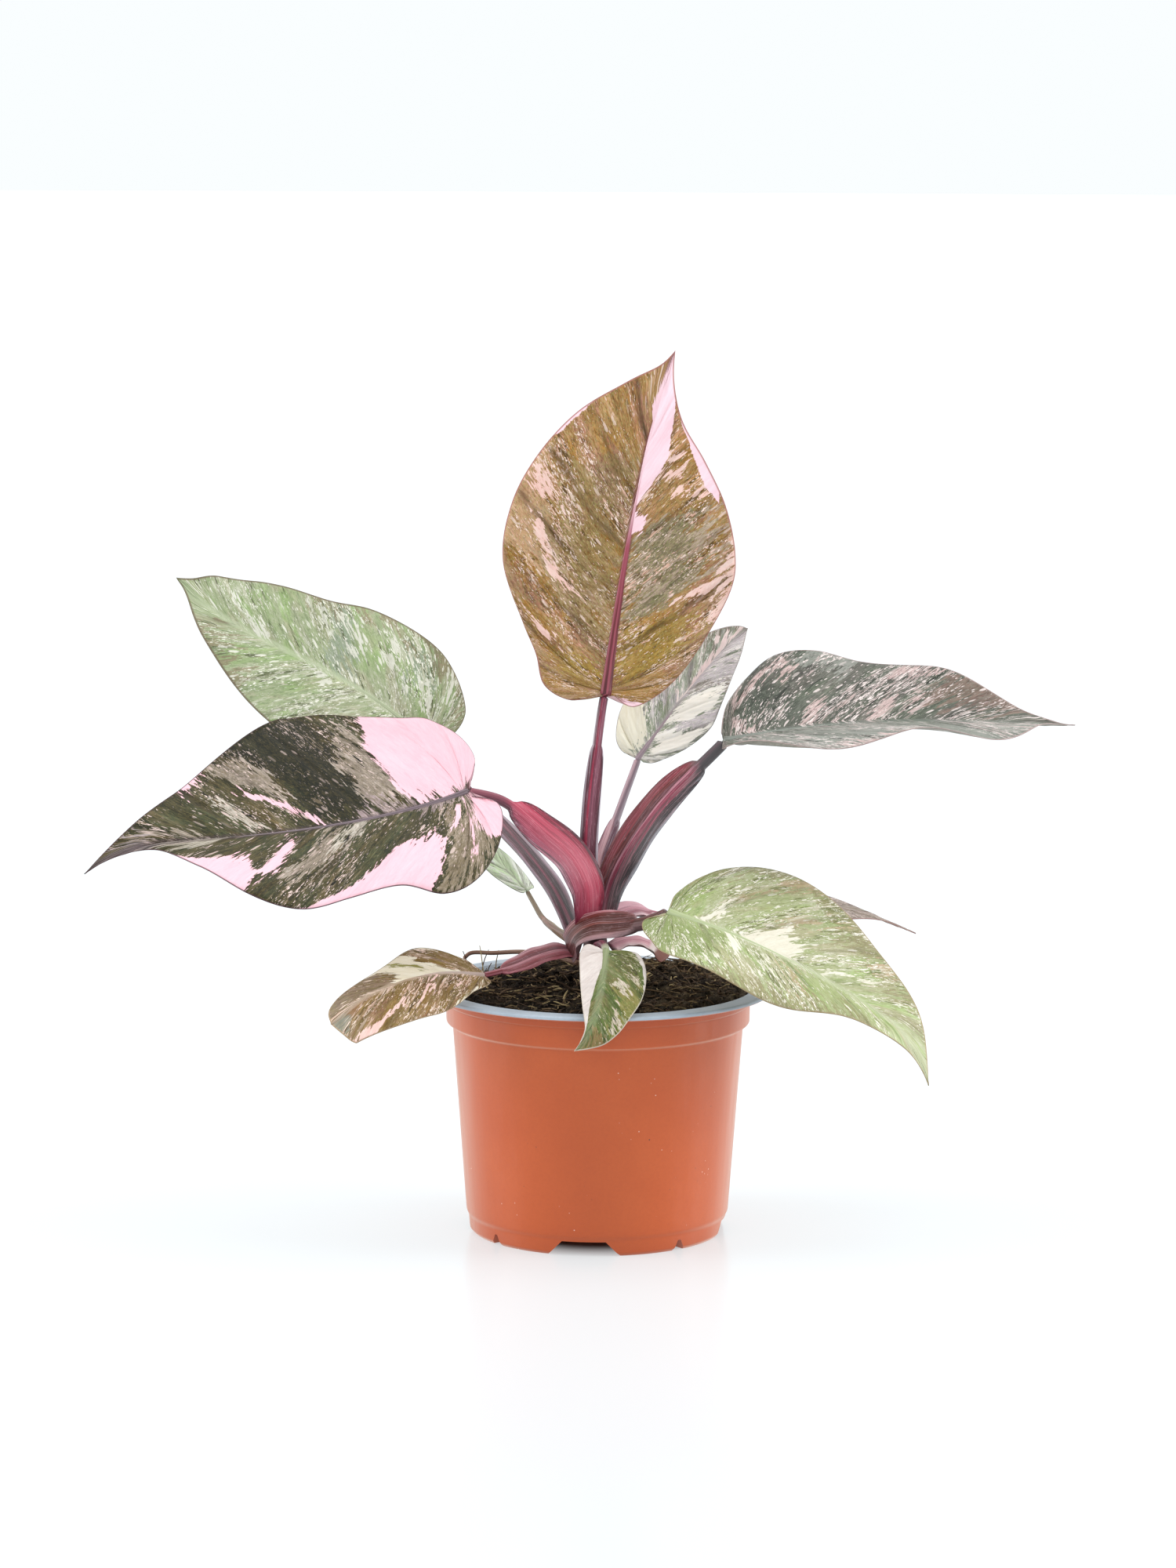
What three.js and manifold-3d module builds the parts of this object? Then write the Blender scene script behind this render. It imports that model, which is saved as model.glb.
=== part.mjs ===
// A young pink princess philodendron in a twelve centimetre nursery pot.
// Millimetres, +Z up, +X to the right and +Y away from the front. The origin is the middle of the
// pot's base, on the surface that it stands on.
import * as THREE from 'three';
import { mergeVertices } from 'three/addons/utils/BufferGeometryUtils.js';
import Module from 'manifold-3d';

const wasm = await Module();
wasm.setup();

// ---- driving dimensions -------------------------------------------------------------------------

const gap = 0.3;
const sliver = 0.03;

const pot = {
  height: 85.3,
  lipRadius: 60,
  lipThickness: 1.5,
  mouthRadius: 53.6,
  bandRadius: 52.4,
  bandBottom: 73,
  creaseHeight: 80,
  wallTopRadius: 50.2,
  wallBottomRadius: 45.4,
  footRadius: 44.4,
  footHeight: 5.4,
  wall: 1.1,
  segments: 48,
};

// The foot is cut by four wide drainage channels with a narrow groove midway between them.
const channel = { count: 4, turn: -6, topWidth: 15, bottomWidth: 24.6, height: 5, innerRadius: 19 };
const groove = { turn: 39, topWidth: 0.8, bottomWidth: 4, height: 3.2, innerRadius: 38 };
const drain = { radius: 4, fromAxis: 30 };

// Fibres and crumbs lie between `scrapInner` and `scrapOuter` from the axis.
const soil = {
  level: 83.6,
  rimGap: 2.2,
  mound: 2.2,
  moundRadius: 26,
  bump: 1,
  ringStep: 6.5,
  scrapInner: 12,
  scrapOuter: 47,
  fibres: 24,
  fibreLength: [5, 11],
  fibreRadius: [0.35, 0.5],
  crumbs: 22,
  crumbRadius: [0.9, 2],
  seed: 11,
};

const stem = { x: -1, y: 1, foot: 44, top: 112, radius: 4.6 };

// A sheath's wall is thin at the edges of its wings and thicker by `keel` stalk radii at its back.
const sheathWall = { edge: 0.62, keel: 0.5 };

// Veins leave the midrib from `veinFoot` of its length on, those of the basal lobes close together,
// and sweep forwards by `sweep`. `rings` are the shares of the way out to the margin.
const blade = {
  thickness: 0.7,
  ribRadius: 1,
  ribDepth: 1.1,
  quilt: 0.3,
  rings: [0.36, 0.7, 1],
  sweep: 0.35,
  veinFoot: 0.02,
  lobe: 0.3,
  spread: 1.1,
  hookStart: 0.75,
};

const colour = {
  pot: 0xb85c38,
  soil: 0x2e241b,
  stem: 0x4a2226,
  crimson: 0x9c2f45,
  wine: 0x6e2b3a,
  mauve: 0x7f6670,
  tan: 0x8a6a4a,
  blush: 0xd9a3ad,
  bronze: 0x7a6a3c,
  olive: 0x4c4f38,
  sage: 0x87926f,
  slate: 0x6a7068,
  leaf: 0x93a45f,
  cream: 0xd8cfc0,
};

// ---- solids -------------------------------------------------------------------------------------

function solidOf(geometry) {
  const bare = new THREE.BufferGeometry();
  bare.setAttribute('position', geometry.attributes.position.clone());
  if (geometry.index) {
    bare.setIndex(geometry.index.clone());
  }
  const merged = mergeVertices(bare, 1e-4);
  const vertProperties = new Float32Array(merged.attributes.position.array);
  const triVerts = new Uint32Array(merged.index.array);
  return new wasm.Manifold(new wasm.Mesh({ numProp: 3, vertProperties, triVerts }));
}

function geometryOf(solid) {
  const mesh = solid.getMesh();
  const geometry = new THREE.BufferGeometry();
  geometry.setAttribute('position', new THREE.BufferAttribute(mesh.vertProperties, 3));
  geometry.setIndex(new THREE.BufferAttribute(mesh.triVerts, 1));
  return geometry;
}

// Cutting can leave loose scraps beside the piece itself, which is the largest body, and slivers.
function tidied(solid) {
  const bodies = solid.decompose();
  bodies.sort((a, b) => b.volume() - a.volume());
  return bodies[0].simplify(sliver);
}

function lathe(profile) {
  const points = profile.map(([r, z]) => new THREE.Vector2(r, z));
  const geometry = new THREE.LatheGeometry(points, pot.segments);
  geometry.rotateX(Math.PI / 2);
  return geometry;
}

// A repeatable draw between 0 and 1.
function drawFrom(seed) {
  let state = seed;
  return () => {
    state = (state * 16807) % 2147483647;
    return state / 2147483647;
  };
}

// ---- pot ----------------------------------------------------------------------------------------

// The outer skin from the foot up to the underside of the lip, drawn inwards by `inset`.
function potSkin(inset) {
  return [
    [pot.footRadius - 1 - inset, inset],
    [pot.footRadius - inset, 1 + inset],
    [pot.footRadius + 0.2 - inset, pot.footHeight + inset / 2],
    [pot.wallBottomRadius - inset, pot.footHeight + 1.6 + inset / 2],
    [pot.wallTopRadius - inset, pot.bandBottom - 1],
    [pot.bandRadius - inset, pot.bandBottom + 0.2],
    [pot.bandRadius + 0.1 - inset, pot.creaseHeight],
    [pot.bandRadius + 0.6 - inset, pot.creaseHeight + 0.4],
  ];
}

// A straight cut that runs outwards under the foot, with sloping ends. `grow` widens it all round.
function footCut(shape, turn, grow) {
  const slope = (shape.bottomWidth - shape.topWidth) / 2 / shape.height;
  const top = shape.height + grow;
  const side = grow * Math.hypot(1, slope);
  const halfAt = (z) => shape.topWidth / 2 + side + slope * (shape.height - z);
  const below = -2;
  const section = new THREE.Shape([
    new THREE.Vector2(-halfAt(below), below),
    new THREE.Vector2(halfAt(below), below),
    new THREE.Vector2(halfAt(top), top),
    new THREE.Vector2(-halfAt(top), top),
  ]);
  const start = shape.innerRadius - grow;
  const options = { depth: pot.lipRadius - start, bevelEnabled: false };
  const geometry = new THREE.ExtrudeGeometry(section, options);
  geometry.translate(0, 0, start);
  geometry.rotateX(Math.PI / 2);
  geometry.rotateZ(THREE.MathUtils.degToRad(turn));
  return solidOf(geometry);
}

function footCuts(grow) {
  const cuts = [];
  for (let i = 0; i < channel.count; i += 1) {
    const quarter = (360 / channel.count) * i;
    cuts.push(footCut(channel, channel.turn + quarter, grow));
    cuts.push(footCut(groove, groove.turn + quarter, grow));
  }
  return cuts.reduce((all, cut) => all.add(cut));
}

function drainHoles() {
  const holes = [];
  for (let i = 0; i < channel.count; i += 1) {
    const hole = new THREE.CylinderGeometry(drain.radius, drain.radius, 6 * pot.wall, 16);
    hole.rotateX(Math.PI / 2);
    hole.translate(0, -drain.fromAxis, channel.height);
    hole.rotateZ(THREE.MathUtils.degToRad(channel.turn + (360 / channel.count) * i));
    holes.push(solidOf(hole));
  }
  return holes.reduce((all, hole) => all.add(hole));
}

function makePot() {
  const lipBottom = pot.height - pot.lipThickness;
  const outside = solidOf(lathe([
    [0, 0],
    ...potSkin(0),
    [pot.bandRadius + 0.8, lipBottom],
    [pot.lipRadius - 0.5, lipBottom - 0.1],
    [pot.lipRadius, lipBottom + 0.3],
    [pot.lipRadius, pot.height - 0.4],
    [pot.lipRadius - 0.5, pot.height],
    [0, pot.height],
  ]));
  const cavity = solidOf(lathe([
    [0, pot.wall],
    ...potSkin(pot.wall),
    [pot.bandRadius - 0.2, lipBottom - 0.6],
    [pot.mouthRadius, pot.height],
    [pot.mouthRadius, pot.height + 1],
    [0, pot.height + 1],
  ]));
  const hollow = cavity.subtract(footCuts(pot.wall));
  return tidied(outside.subtract(footCuts(0)).subtract(hollow).subtract(drainHoles()));
}

// ---- soil ---------------------------------------------------------------------------------------

// A gentle rise to the stem, broken by small lumps and fading out at the rim.
function soilHeight(x, y) {
  const r = Math.hypot(x, y);
  const fade = THREE.MathUtils.smoothstep(pot.mouthRadius - r, 1, 12);
  const lumps = Math.sin(0.42 * x + 1.3) * Math.cos(0.37 * y) + 0.6 * Math.sin(0.9 * x - 0.7 * y);
  const rise = soil.mound * Math.exp(-((r / soil.moundRadius) ** 2));
  return soil.level + fade * (rise + soil.bump * lumps);
}

function soilScraps(draw) {
  const scraps = [];
  for (let i = 0; i < soil.fibres + soil.crumbs; i += 1) {
    const isFibre = i < soil.fibres;
    const turn = draw() * Math.PI * 2;
    const r = THREE.MathUtils.lerp(soil.scrapInner, soil.scrapOuter, Math.sqrt(draw()));
    const [low, high] = isFibre ? soil.fibreLength : soil.crumbRadius;
    const size = THREE.MathUtils.lerp(low, high, draw());
    const scrap = isFibre
      ? new THREE.CylinderGeometry(...soil.fibreRadius, size, 3)
      : new THREE.IcosahedronGeometry(size, 0);
    scrap.rotateX((draw() - 0.5) * 0.3);
    scrap.rotateZ(draw() * Math.PI);
    const x = r * Math.cos(turn);
    const y = r * Math.sin(turn);
    scrap.translate(x, y, soilHeight(x, y) + (isFibre ? 0.15 : 0.4));
    scraps.push(solidOf(scrap));
  }
  return scraps;
}

function makeSoil() {
  const inset = pot.wall + gap;
  const edge = pot.mouthRadius - soil.rimGap;
  const top = [];
  for (let r = edge - 1; r > 1; r -= soil.ringStep) {
    top.push([r, soil.level]);
  }
  const geometry = lathe([
    [0, inset],
    ...potSkin(inset),
    [edge, pot.height - 3],
    ...top,
    [0, soil.level],
  ]);
  const position = geometry.attributes.position;
  for (let i = 0; i < position.count; i += 1) {
    if (Math.abs(position.getZ(i) - soil.level) < 1e-3) {
      position.setZ(i, soilHeight(position.getX(i), position.getY(i)));
    }
  }
  const scraps = soilScraps(drawFrom(soil.seed));
  const ground = scraps.reduce((all, scrap) => all.add(scrap), solidOf(geometry));
  return tidied(ground.subtract(footCuts(inset)).subtract(makeStem(gap)));
}

// ---- stem ---------------------------------------------------------------------------------------

// A short rooted stock that narrows to the growing tip.
function makeStem(grow) {
  const r = stem.radius + grow;
  const points = [
    [0, stem.foot - grow],
    [r * 0.45, stem.foot + 1 - grow],
    [r * 0.8, stem.foot + 16],
    [r, soil.level - 6],
    [r, soil.level + 8],
    [r * 0.86, stem.top - 9],
    [r * 0.5, stem.top - 2],
    [0, stem.top + grow],
  ].map(([x, z]) => new THREE.Vector2(x, z));
  const geometry = new THREE.LatheGeometry(points, 16);
  geometry.rotateX(Math.PI / 2);
  geometry.translate(stem.x, stem.y, 0);
  return solidOf(geometry);
}

// ---- petioles -----------------------------------------------------------------------------------

// A stalk with a winged sheath at its foot. `route` is followed from the crown to the blade, `face`
// is the side that the channel opens to, `stalk` the radius at both ends, and the sheath has its
// half width, the rise of its wings and the share of the route where it stops.
function makePetiole({ route, face, stalk, sheath }, grow = 0) {
  const steps = 12;
  const around = 12;
  const curve = new THREE.CatmullRomCurve3(route.map((p) => new THREE.Vector3(...p)));
  const up = new THREE.Vector3(...face).normalize();
  const vertices = [];
  for (let i = 0; i <= steps; i += 1) {
    const u = i / steps;
    const stretch = (u - 0.5) * 2 * grow;
    const along = curve.getTangentAt(u);
    const centre = curve.getPointAt(u).addScaledVector(along, stretch);
    const out = up.clone().addScaledVector(along, -up.dot(along)).normalize();
    const side = new THREE.Vector3().crossVectors(along, out);
    const radius = THREE.MathUtils.lerp(stalk[0], stalk[1], u);
    const open = Math.sqrt(Math.max(0, 1 - (u / sheath.end) ** 6));
    const half = radius + (sheath.half - radius) * open + grow;
    const rise = sheath.rise * open;
    for (let k = 0; k < around; k += 1) {
      const angle = (k / around) * 2 * Math.PI;
      const v = Math.cos(angle);
      const wall = sheathWall.edge + sheathWall.keel * radius * (1 - v * v);
      const thick = THREE.MathUtils.lerp(radius, wall, open) + grow;
      vertices.push(centre.clone()
        .addScaledVector(side, half * v)
        .addScaledVector(out, rise * (v * v - 0.3) + thick * Math.sin(angle)));
    }
  }
  const first = vertices.length;
  const stations = [0, steps * around];
  for (const start of stations) {
    const middle = new THREE.Vector3();
    for (let k = 0; k < around; k += 1) {
      middle.addScaledVector(vertices[start + k], 1 / around);
    }
    vertices.push(middle);
  }
  const faces = [];
  for (let k = 0; k < around; k += 1) {
    const next = (k + 1) % around;
    for (let i = 0; i < steps; i += 1) {
      const a = i * around;
      const b = a + around;
      faces.push([a + k, b + next, a + next], [a + k, b + k, b + next]);
    }
    faces.push([first, k, next]);
    faces.push([first + 1, steps * around + next, steps * around + k]);
  }
  return solidOf(meshOf(vertices, faces));
}

function meshOf(vertices, faces) {
  const geometry = new THREE.BufferGeometry();
  const flat = vertices.flatMap((p) => [p.x, p.y, p.z]);
  geometry.setAttribute('position', new THREE.Float32BufferAttribute(flat, 3));
  geometry.setIndex(faces.flat());
  return geometry;
}

// ---- blades -------------------------------------------------------------------------------------

// The smooth curve through four points that are a third of its length apart.
function throughFour([a, b, c, d], t) {
  const weights = [
    (t - 1 / 3) * (t - 2 / 3) * (t - 1) * -4.5,
    t * (t - 2 / 3) * (t - 1) * 13.5,
    t * (t - 1 / 3) * (t - 1) * -13.5,
    t * (t - 1 / 3) * (t - 2 / 3) * 4.5,
  ];
  const point = new THREE.Vector3();
  [a, b, c, d].forEach((p, i) => point.addScaledVector(new THREE.Vector3(...p), weights[i]));
  return point;
}

// The midrib, its length, and the direction, face and side of the blade at any share of it.
function midribOf(leaf) {
  const hook = new THREE.Vector3(...(leaf.hook ?? [0, 0, 0]));
  const at = (t) => {
    const bend = Math.max(0, (t - blade.hookStart) / (1 - blade.hookStart)) ** 3;
    return throughFour(leaf.midrib, t).addScaledVector(hook, bend);
  };
  let length = 0;
  for (let i = 0; i < 32; i += 1) {
    length += at(i / 32).distanceTo(at((i + 1) / 32));
  }
  const frame = (t) => {
    const along = at(t + 1e-3).sub(at(t - 1e-3)).normalize();
    const face = new THREE.Vector3(...leaf.face[0]).lerp(new THREE.Vector3(...leaf.face[1]), t);
    face.addScaledVector(along, -face.dot(along)).normalize();
    return { along, face, side: new THREE.Vector3().crossVectors(along, face) };
  };
  return { at, length, frame };
}

// One half of the flat blade: rows follow the veins from the midrib out to the margin.
function veinRows(outline, rows) {
  const points = [...outline, [1, 0]].map(([a, w]) => new THREE.Vector2(a, w));
  const margin = new THREE.SplineCurve(points).getSpacedPoints(rows);
  const { lobe, veinFoot, spread } = blade;
  return margin.map((end, i) => {
    const t = i / rows;
    const start = t < lobe
      ? veinFoot * (t / lobe)
      : THREE.MathUtils.lerp(veinFoot, 1, ((t - lobe) / (1 - lobe)) ** spread);
    return { t, start, end };
  });
}

function makeBlade(leaf) {
  const rows = leaf.rows ?? 18;
  const midrib = midribOf(leaf);
  const columns = [];
  for (const hand of [-1, 1]) {
    const half = hand < 0 ? leaf.left : leaf.right;
    const widest = Math.max(...half.outline.map((p) => p[1]));
    const ribShare = (row) => Math.min(0.3, blade.ribRadius / midrib.length / (row.end.y + 0.01));
    const place = ({ t, start, end }, q) => {
      const sweep = blade.sweep * end.y * q * (1 - q);
      const a = start + (end.x - start) * q - sweep * Math.min(1, 3 * t);
      const w = end.y * q;
      const s = Math.max(0, a);
      const { along, face, side } = midrib.frame(s);
      const fold = THREE.MathUtils.lerp(half.fold[0], half.fold[1], s);
      const lean = THREE.MathUtils.degToRad(fold + (half.curl * w) / widest / 2);
      const [height, count, phase] = half.wave;
      const ripple = height * Math.sin(2 * Math.PI * (count * t + phase)) * q * q;
      const pillow = blade.quilt * Math.cos(Math.PI * t * rows) * Math.sin(Math.PI * q);
      return midrib.at(s)
        .addScaledVector(along, Math.min(0, a) * midrib.length)
        .addScaledVector(side, hand * w * Math.cos(lean) * midrib.length)
        .addScaledVector(face, w * Math.sin(lean) * midrib.length + ripple + pillow);
    };
    const grid = veinRows(half.outline, rows).map((row) => (
      [ribShare(row), ...blade.rings].map((q) => place(row, q))
    ));
    columns.push(grid);
  }
  return closeBlade(midrib, columns, rows, veinRows(leaf.left.outline, rows));
}

// Gives the two half grids one midrib, a thickness and a closed edge.
function closeBlade(midrib, [left, right], rows, veins) {
  const across = 2 * left[0].length + 1;
  const sheet = [];
  for (let i = 0; i < rows; i += 1) {
    const rib = midrib.at(veins[i].start);
    sheet.push([...left[i].toReversed(), rib, ...right[i]]);
  }
  const tip = midrib.at(1);
  const flat = [...sheet.flat(), tip];
  const tipIndex = flat.length - 1;
  const index = (i, j) => i * across + j;
  const faces = [];
  for (let i = 0; i < rows - 1; i += 1) {
    for (let j = 0; j < across - 1; j += 1) {
      const [a, b, c, d] = [index(i, j), index(i, j + 1), index(i + 1, j + 1), index(i + 1, j)];
      faces.push(...(j < across / 2 - 1 ? [[a, b, c], [a, c, d]] : [[a, b, d], [b, c, d]]));
    }
  }
  for (let j = 0; j < across - 1; j += 1) {
    faces.push([index(rows - 1, j), index(rows - 1, j + 1), tipIndex]);
  }
  const normals = normalsOf(flat, faces);
  const count = flat.length;
  const upper = flat.map((p, n) => p.clone().addScaledVector(normals[n], blade.thickness / 2));
  const lower = flat.map((p, n) => {
    const onRib = n < tipIndex && n % across === (across - 1) / 2;
    const taper = 1 - Math.floor(n / across) / rows;
    const depth = blade.thickness / 2 + (onRib ? blade.ribDepth * taper : 0);
    return p.clone().addScaledVector(normals[n], -depth);
  });
  const rim = [];
  for (let j = 0; j < across; j += 1) {
    rim.push(index(0, j));
  }
  for (let i = 1; i < rows; i += 1) {
    rim.push(index(i, across - 1));
  }
  rim.push(tipIndex);
  for (let i = rows - 1; i > 0; i -= 1) {
    rim.push(index(i, 0));
  }
  const closed = faces.flatMap(([a, b, c]) => [[a, b, c], [c + count, b + count, a + count]]);
  rim.forEach((a, n) => {
    const b = rim[(n + 1) % rim.length];
    closed.push([b, a, a + count], [b, a + count, b + count]);
  });
  return solidOf(meshOf([...upper, ...lower], closed));
}

function normalsOf(points, faces) {
  const normals = points.map(() => new THREE.Vector3());
  for (const [a, b, c] of faces) {
    const ab = points[b].clone().sub(points[a]);
    const ac = points[c].clone().sub(points[a]);
    const normal = ab.cross(ac);
    [a, b, c].forEach((n) => normals[n].add(normal));
  }
  return normals.map((n) => n.normalize());
}

// ---- the plant ----------------------------------------------------------------------------------

// Lengths along and out from the midrib are in shares of the blade's length, folds and curls are in
// degrees, and a wave is its height in mm, its count along the margin and its phase.
const leaves = [
  {
    name: 'top',
    colours: [colour.wine, colour.bronze],
    petiole: {
      route: [[-2.5, 1, 112.5], [-3.5, 0, 125.5], [-3, -1, 144.5], [-1.5, 0, 161], [0, 0, 174.5],
        [1.7, 0.4, 185.5]],
      face: [0.1, -1, 0.1],
      stalk: [2, 1.5],
      sheath: { half: 3.2, rise: 1.4, end: 0.76 },
    },
    midrib: [[2, 0, 186], [7.5, 7, 224], [14.5, 13, 262], [25, 22, 299.5]],
    face: [[0.05, -1, 0.15], [-0.25, -1, 0.3]],
    left: {
      outline: [[0, 0.03], [-0.03, 0.1], [0, 0.19], [0.16, 0.265], [0.34, 0.335], [0.5, 0.345],
        [0.64, 0.3], [0.78, 0.21], [0.9, 0.1], [0.97, 0.02]],
      fold: [14, 10],
      curl: -10,
      wave: [1, 3, 0],
    },
    right: {
      outline: [[0, 0.03], [-0.02, 0.09], [0.05, 0.175], [0.17, 0.245], [0.35, 0.31], [0.47, 0.31],
        [0.61, 0.255], [0.73, 0.165], [0.83, 0.075], [0.93, 0.025]],
      fold: [14, 10],
      curl: -10,
      wave: [1, 3, 0.4],
    },
  },
  {
    name: 'big_left',
    colours: [colour.crimson, colour.olive],
    petiole: {
      route: [[-4.5, -5, 103], [-3.5, -7, 113.5], [-3.5, -9, 122], [-8, -10, 131.5],
        [-19, -12, 142], [-33, -11, 151.5], [-43.8, -10, 153.8]],
      face: [0.4, -0.8, 0.45],
      stalk: [2.4, 1.6],
      sheath: { half: 6.2, rise: 1.6, end: 0.78 },
    },
    midrib: [[-44.5, -10, 154], [-86, -18, 144], [-129, -24, 139.5], [-171, -26, 137]],
    hook: [-3.5, 3, -10],
    face: [[0, -0.58, 0.81], [0, -0.58, 0.81]],
    left: {
      outline: [[0, 0.03], [-0.05, 0.1], [-0.02, 0.2], [0.07, 0.3], [0.16, 0.33], [0.25, 0.28],
        [0.37, 0.28], [0.49, 0.285], [0.61, 0.23], [0.72, 0.13], [0.83, 0.045], [0.93, 0.01]],
      fold: [10, 10],
      curl: -14,
      wave: [1.4, 3, 0.1],
    },
    right: {
      outline: [[0, 0.03], [-0.05, 0.09], [-0.04, 0.18], [0.02, 0.26], [0.1, 0.29], [0.2, 0.335],
        [0.31, 0.38], [0.41, 0.38], [0.5, 0.36], [0.66, 0.26], [0.78, 0.155], [0.89, 0.06]],
      fold: [10, 10],
      curl: -10,
      wave: [1.2, 3, 0.5],
    },
  },
  {
    name: 'long_right',
    colours: [colour.wine, colour.slate],
    petiole: {
      route: [[2.5, 1, 102], [3, 1, 111], [5, 1, 120], [8.7, 1, 128.5], [15, 2, 139],
        [22.5, 3, 149], [31, 4, 157.5], [38, 5, 164.2], [42.6, 6, 168.8]],
      face: [-0.5, -0.75, 0.45],
      stalk: [2.4, 2],
      sheath: { half: 6.8, rise: 2, end: 0.84 },
    },
    midrib: [[43, 6, 169.5], [84, 10, 175], [125, 14, 175.5], [165, 18, 174]],
    face: [[0, -0.28, 0.96], [0, -0.28, 0.96]],
    left: {
      outline: [[0, 0.03], [0.02, 0.1], [0.05, 0.18], [0.11, 0.27], [0.2, 0.35], [0.31, 0.355],
        [0.42, 0.31], [0.55, 0.28], [0.66, 0.245], [0.78, 0.15], [0.88, 0.05]],
      fold: [16, 14],
      curl: -6,
      wave: [1, 3, 0.2],
    },
    right: {
      outline: [[0, 0.03], [-0.01, 0.1], [0.1, 0.24], [0.25, 0.3], [0.4, 0.28], [0.55, 0.22],
        [0.7, 0.2], [0.8, 0.14], [0.9, 0.05]],
      fold: [16, 14],
      curl: 0,
      wave: [2.6, 2.5, 0.85],
    },
  },
  {
    name: 'small_behind',
    colours: [colour.blush, colour.cream],
    rows: 14,
    petiole: {
      route: [[1, 6, 105], [0.5, 8, 118.5], [1.5, 11, 128], [4, 14, 135.5], [6.5, 17, 142],
        [9.5, 20, 150], [13.4, 24, 160.4]],
      face: [-0.3, -0.9, 0.3],
      stalk: [1.8, 1.2],
      sheath: { half: 2.9, rise: 1, end: 0.62 },
    },
    midrib: [[13.5, 24, 161], [26, 30, 177.5], [38.5, 36, 192.5], [52, 40, 205]],
    face: [[0.1, -0.9, 0.45], [0.1, -0.9, 0.45]],
    left: {
      outline: [[0, 0.04], [-0.02, 0.1], [0.03, 0.18], [0.18, 0.25], [0.4, 0.26], [0.65, 0.19],
        [0.86, 0.11], [0.96, 0.05]],
      fold: [12, 10],
      curl: -10,
      wave: [0.6, 2, 0],
    },
    right: {
      outline: [[0, 0.04], [0.04, 0.1], [0.2, 0.2], [0.36, 0.24], [0.5, 0.21], [0.7, 0.15],
        [0.86, 0.09]],
      fold: [12, 10],
      curl: -10,
      wave: [0.6, 2, 0.5],
    },
  },
  {
    name: 'upper_left',
    colours: [colour.mauve, colour.sage],
    petiole: {
      route: [[-8.5, 3, 101.5], [-11.5, 5, 109], [-16, 9, 117.5], [-23.5, 14, 127],
        [-34, 20, 137.5], [-46.5, 26, 150], [-59.4, 30, 164.4]],
      face: [0.6, -0.3, 0.75],
      stalk: [2.2, 1.7],
      sheath: { half: 5.2, rise: 1.6, end: 0.66 },
    },
    midrib: [[-60, 30, 165], [-89, 38, 186], [-120, 44, 201], [-148, 50, 218]],
    hook: [-1, 0, 3],
    face: [[0.15, -0.85, 0.5], [0.2, -0.8, 0.6]],
    left: {
      outline: [[0, 0.03], [-0.05, 0.1], [0.02, 0.22], [0.15, 0.3], [0.3, 0.31], [0.48, 0.27],
        [0.64, 0.21], [0.82, 0.11], [0.94, 0.02]],
      fold: [10, 8],
      curl: -8,
      wave: [0.9, 2.5, 0.2],
    },
    right: {
      outline: [[0, 0.03], [-0.03, 0.09], [0, 0.17], [0.1, 0.24], [0.2, 0.27], [0.38, 0.27],
        [0.52, 0.225], [0.69, 0.195], [0.8, 0.165], [0.92, 0.11], [0.97, 0.04]],
      fold: [10, 8],
      curl: -8,
      wave: [0.9, 2.5, 0.6],
    },
  },
  {
    name: 'lower_right',
    colours: [colour.wine, colour.leaf],
    petiole: {
      route: [[-7, -7.5, 101], [-5, -11.5, 106], [0, -14.5, 108.6], [6.5, -17.5, 109.8],
        [15, -22, 111.5], [22.7, -25.6, 114.3]],
      face: [-0.2, -0.45, 0.85],
      stalk: [2.4, 2],
      sheath: { half: 5.6, rise: 1.6, end: 0.66 },
    },
    midrib: [[23.5, -26, 115], [53.5, -34, 105.5], [85, -40, 89.5], [112, -43, 70]],
    hook: [-0.5, 1, -11],
    face: [[0.35, -0.5, 0.8], [0.6, -0.5, 0.6]],
    left: {
      outline: [[0, 0.03], [0, 0.1], [0.08, 0.26], [0.18, 0.345], [0.3, 0.37], [0.44, 0.35],
        [0.57, 0.305], [0.69, 0.235], [0.81, 0.155], [0.91, 0.08]],
      fold: [8, 8],
      curl: -10,
      wave: [0.9, 2.5, 0.1],
    },
    right: {
      outline: [[0, 0.03], [-0.05, 0.07], [-0.04, 0.12], [0.01, 0.17], [0.07, 0.215], [0.18, 0.235],
        [0.37, 0.24], [0.52, 0.215], [0.68, 0.13], [0.8, 0.08], [0.92, 0.02]],
      fold: [8, 4],
      curl: -8,
      wave: [1.2, 2.5, 0.4],
    },
  },
  {
    name: 'far_right',
    colours: [colour.blush, colour.mauve],
    rows: 12,
    petiole: {
      route: [[4, 6, 102.5], [7.5, 12, 107.3], [13, 16.5, 108.6], [18.5, 21, 106.4],
        [26, 27.5, 104.4], [38.5, 39.5, 107.6]],
      face: [0, -0.5, 0.85],
      stalk: [1.9, 1.4],
      sheath: { half: 4, rise: 2, end: 0.42 },
    },
    midrib: [[39, 40, 108], [63, 48, 107], [88.5, 54, 103], [113.5, 58, 93.5]],
    face: [[0, -0.12, 1], [0.1, -0.08, 1]],
    left: {
      outline: [[0, 0.04], [-0.03, 0.12], [0.08, 0.25], [0.3, 0.3], [0.55, 0.22], [0.8, 0.09]],
      fold: [4, 0],
      curl: -10,
      wave: [0.6, 2, 0],
    },
    right: {
      outline: [[0, 0.04], [-0.03, 0.12], [0.08, 0.24], [0.3, 0.28], [0.55, 0.2], [0.8, 0.07]],
      fold: [4, 0],
      curl: -10,
      wave: [0.6, 2, 0.5],
    },
  },
  {
    name: 'lower_left',
    colours: [colour.wine, colour.bronze],
    rows: 14,
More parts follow.
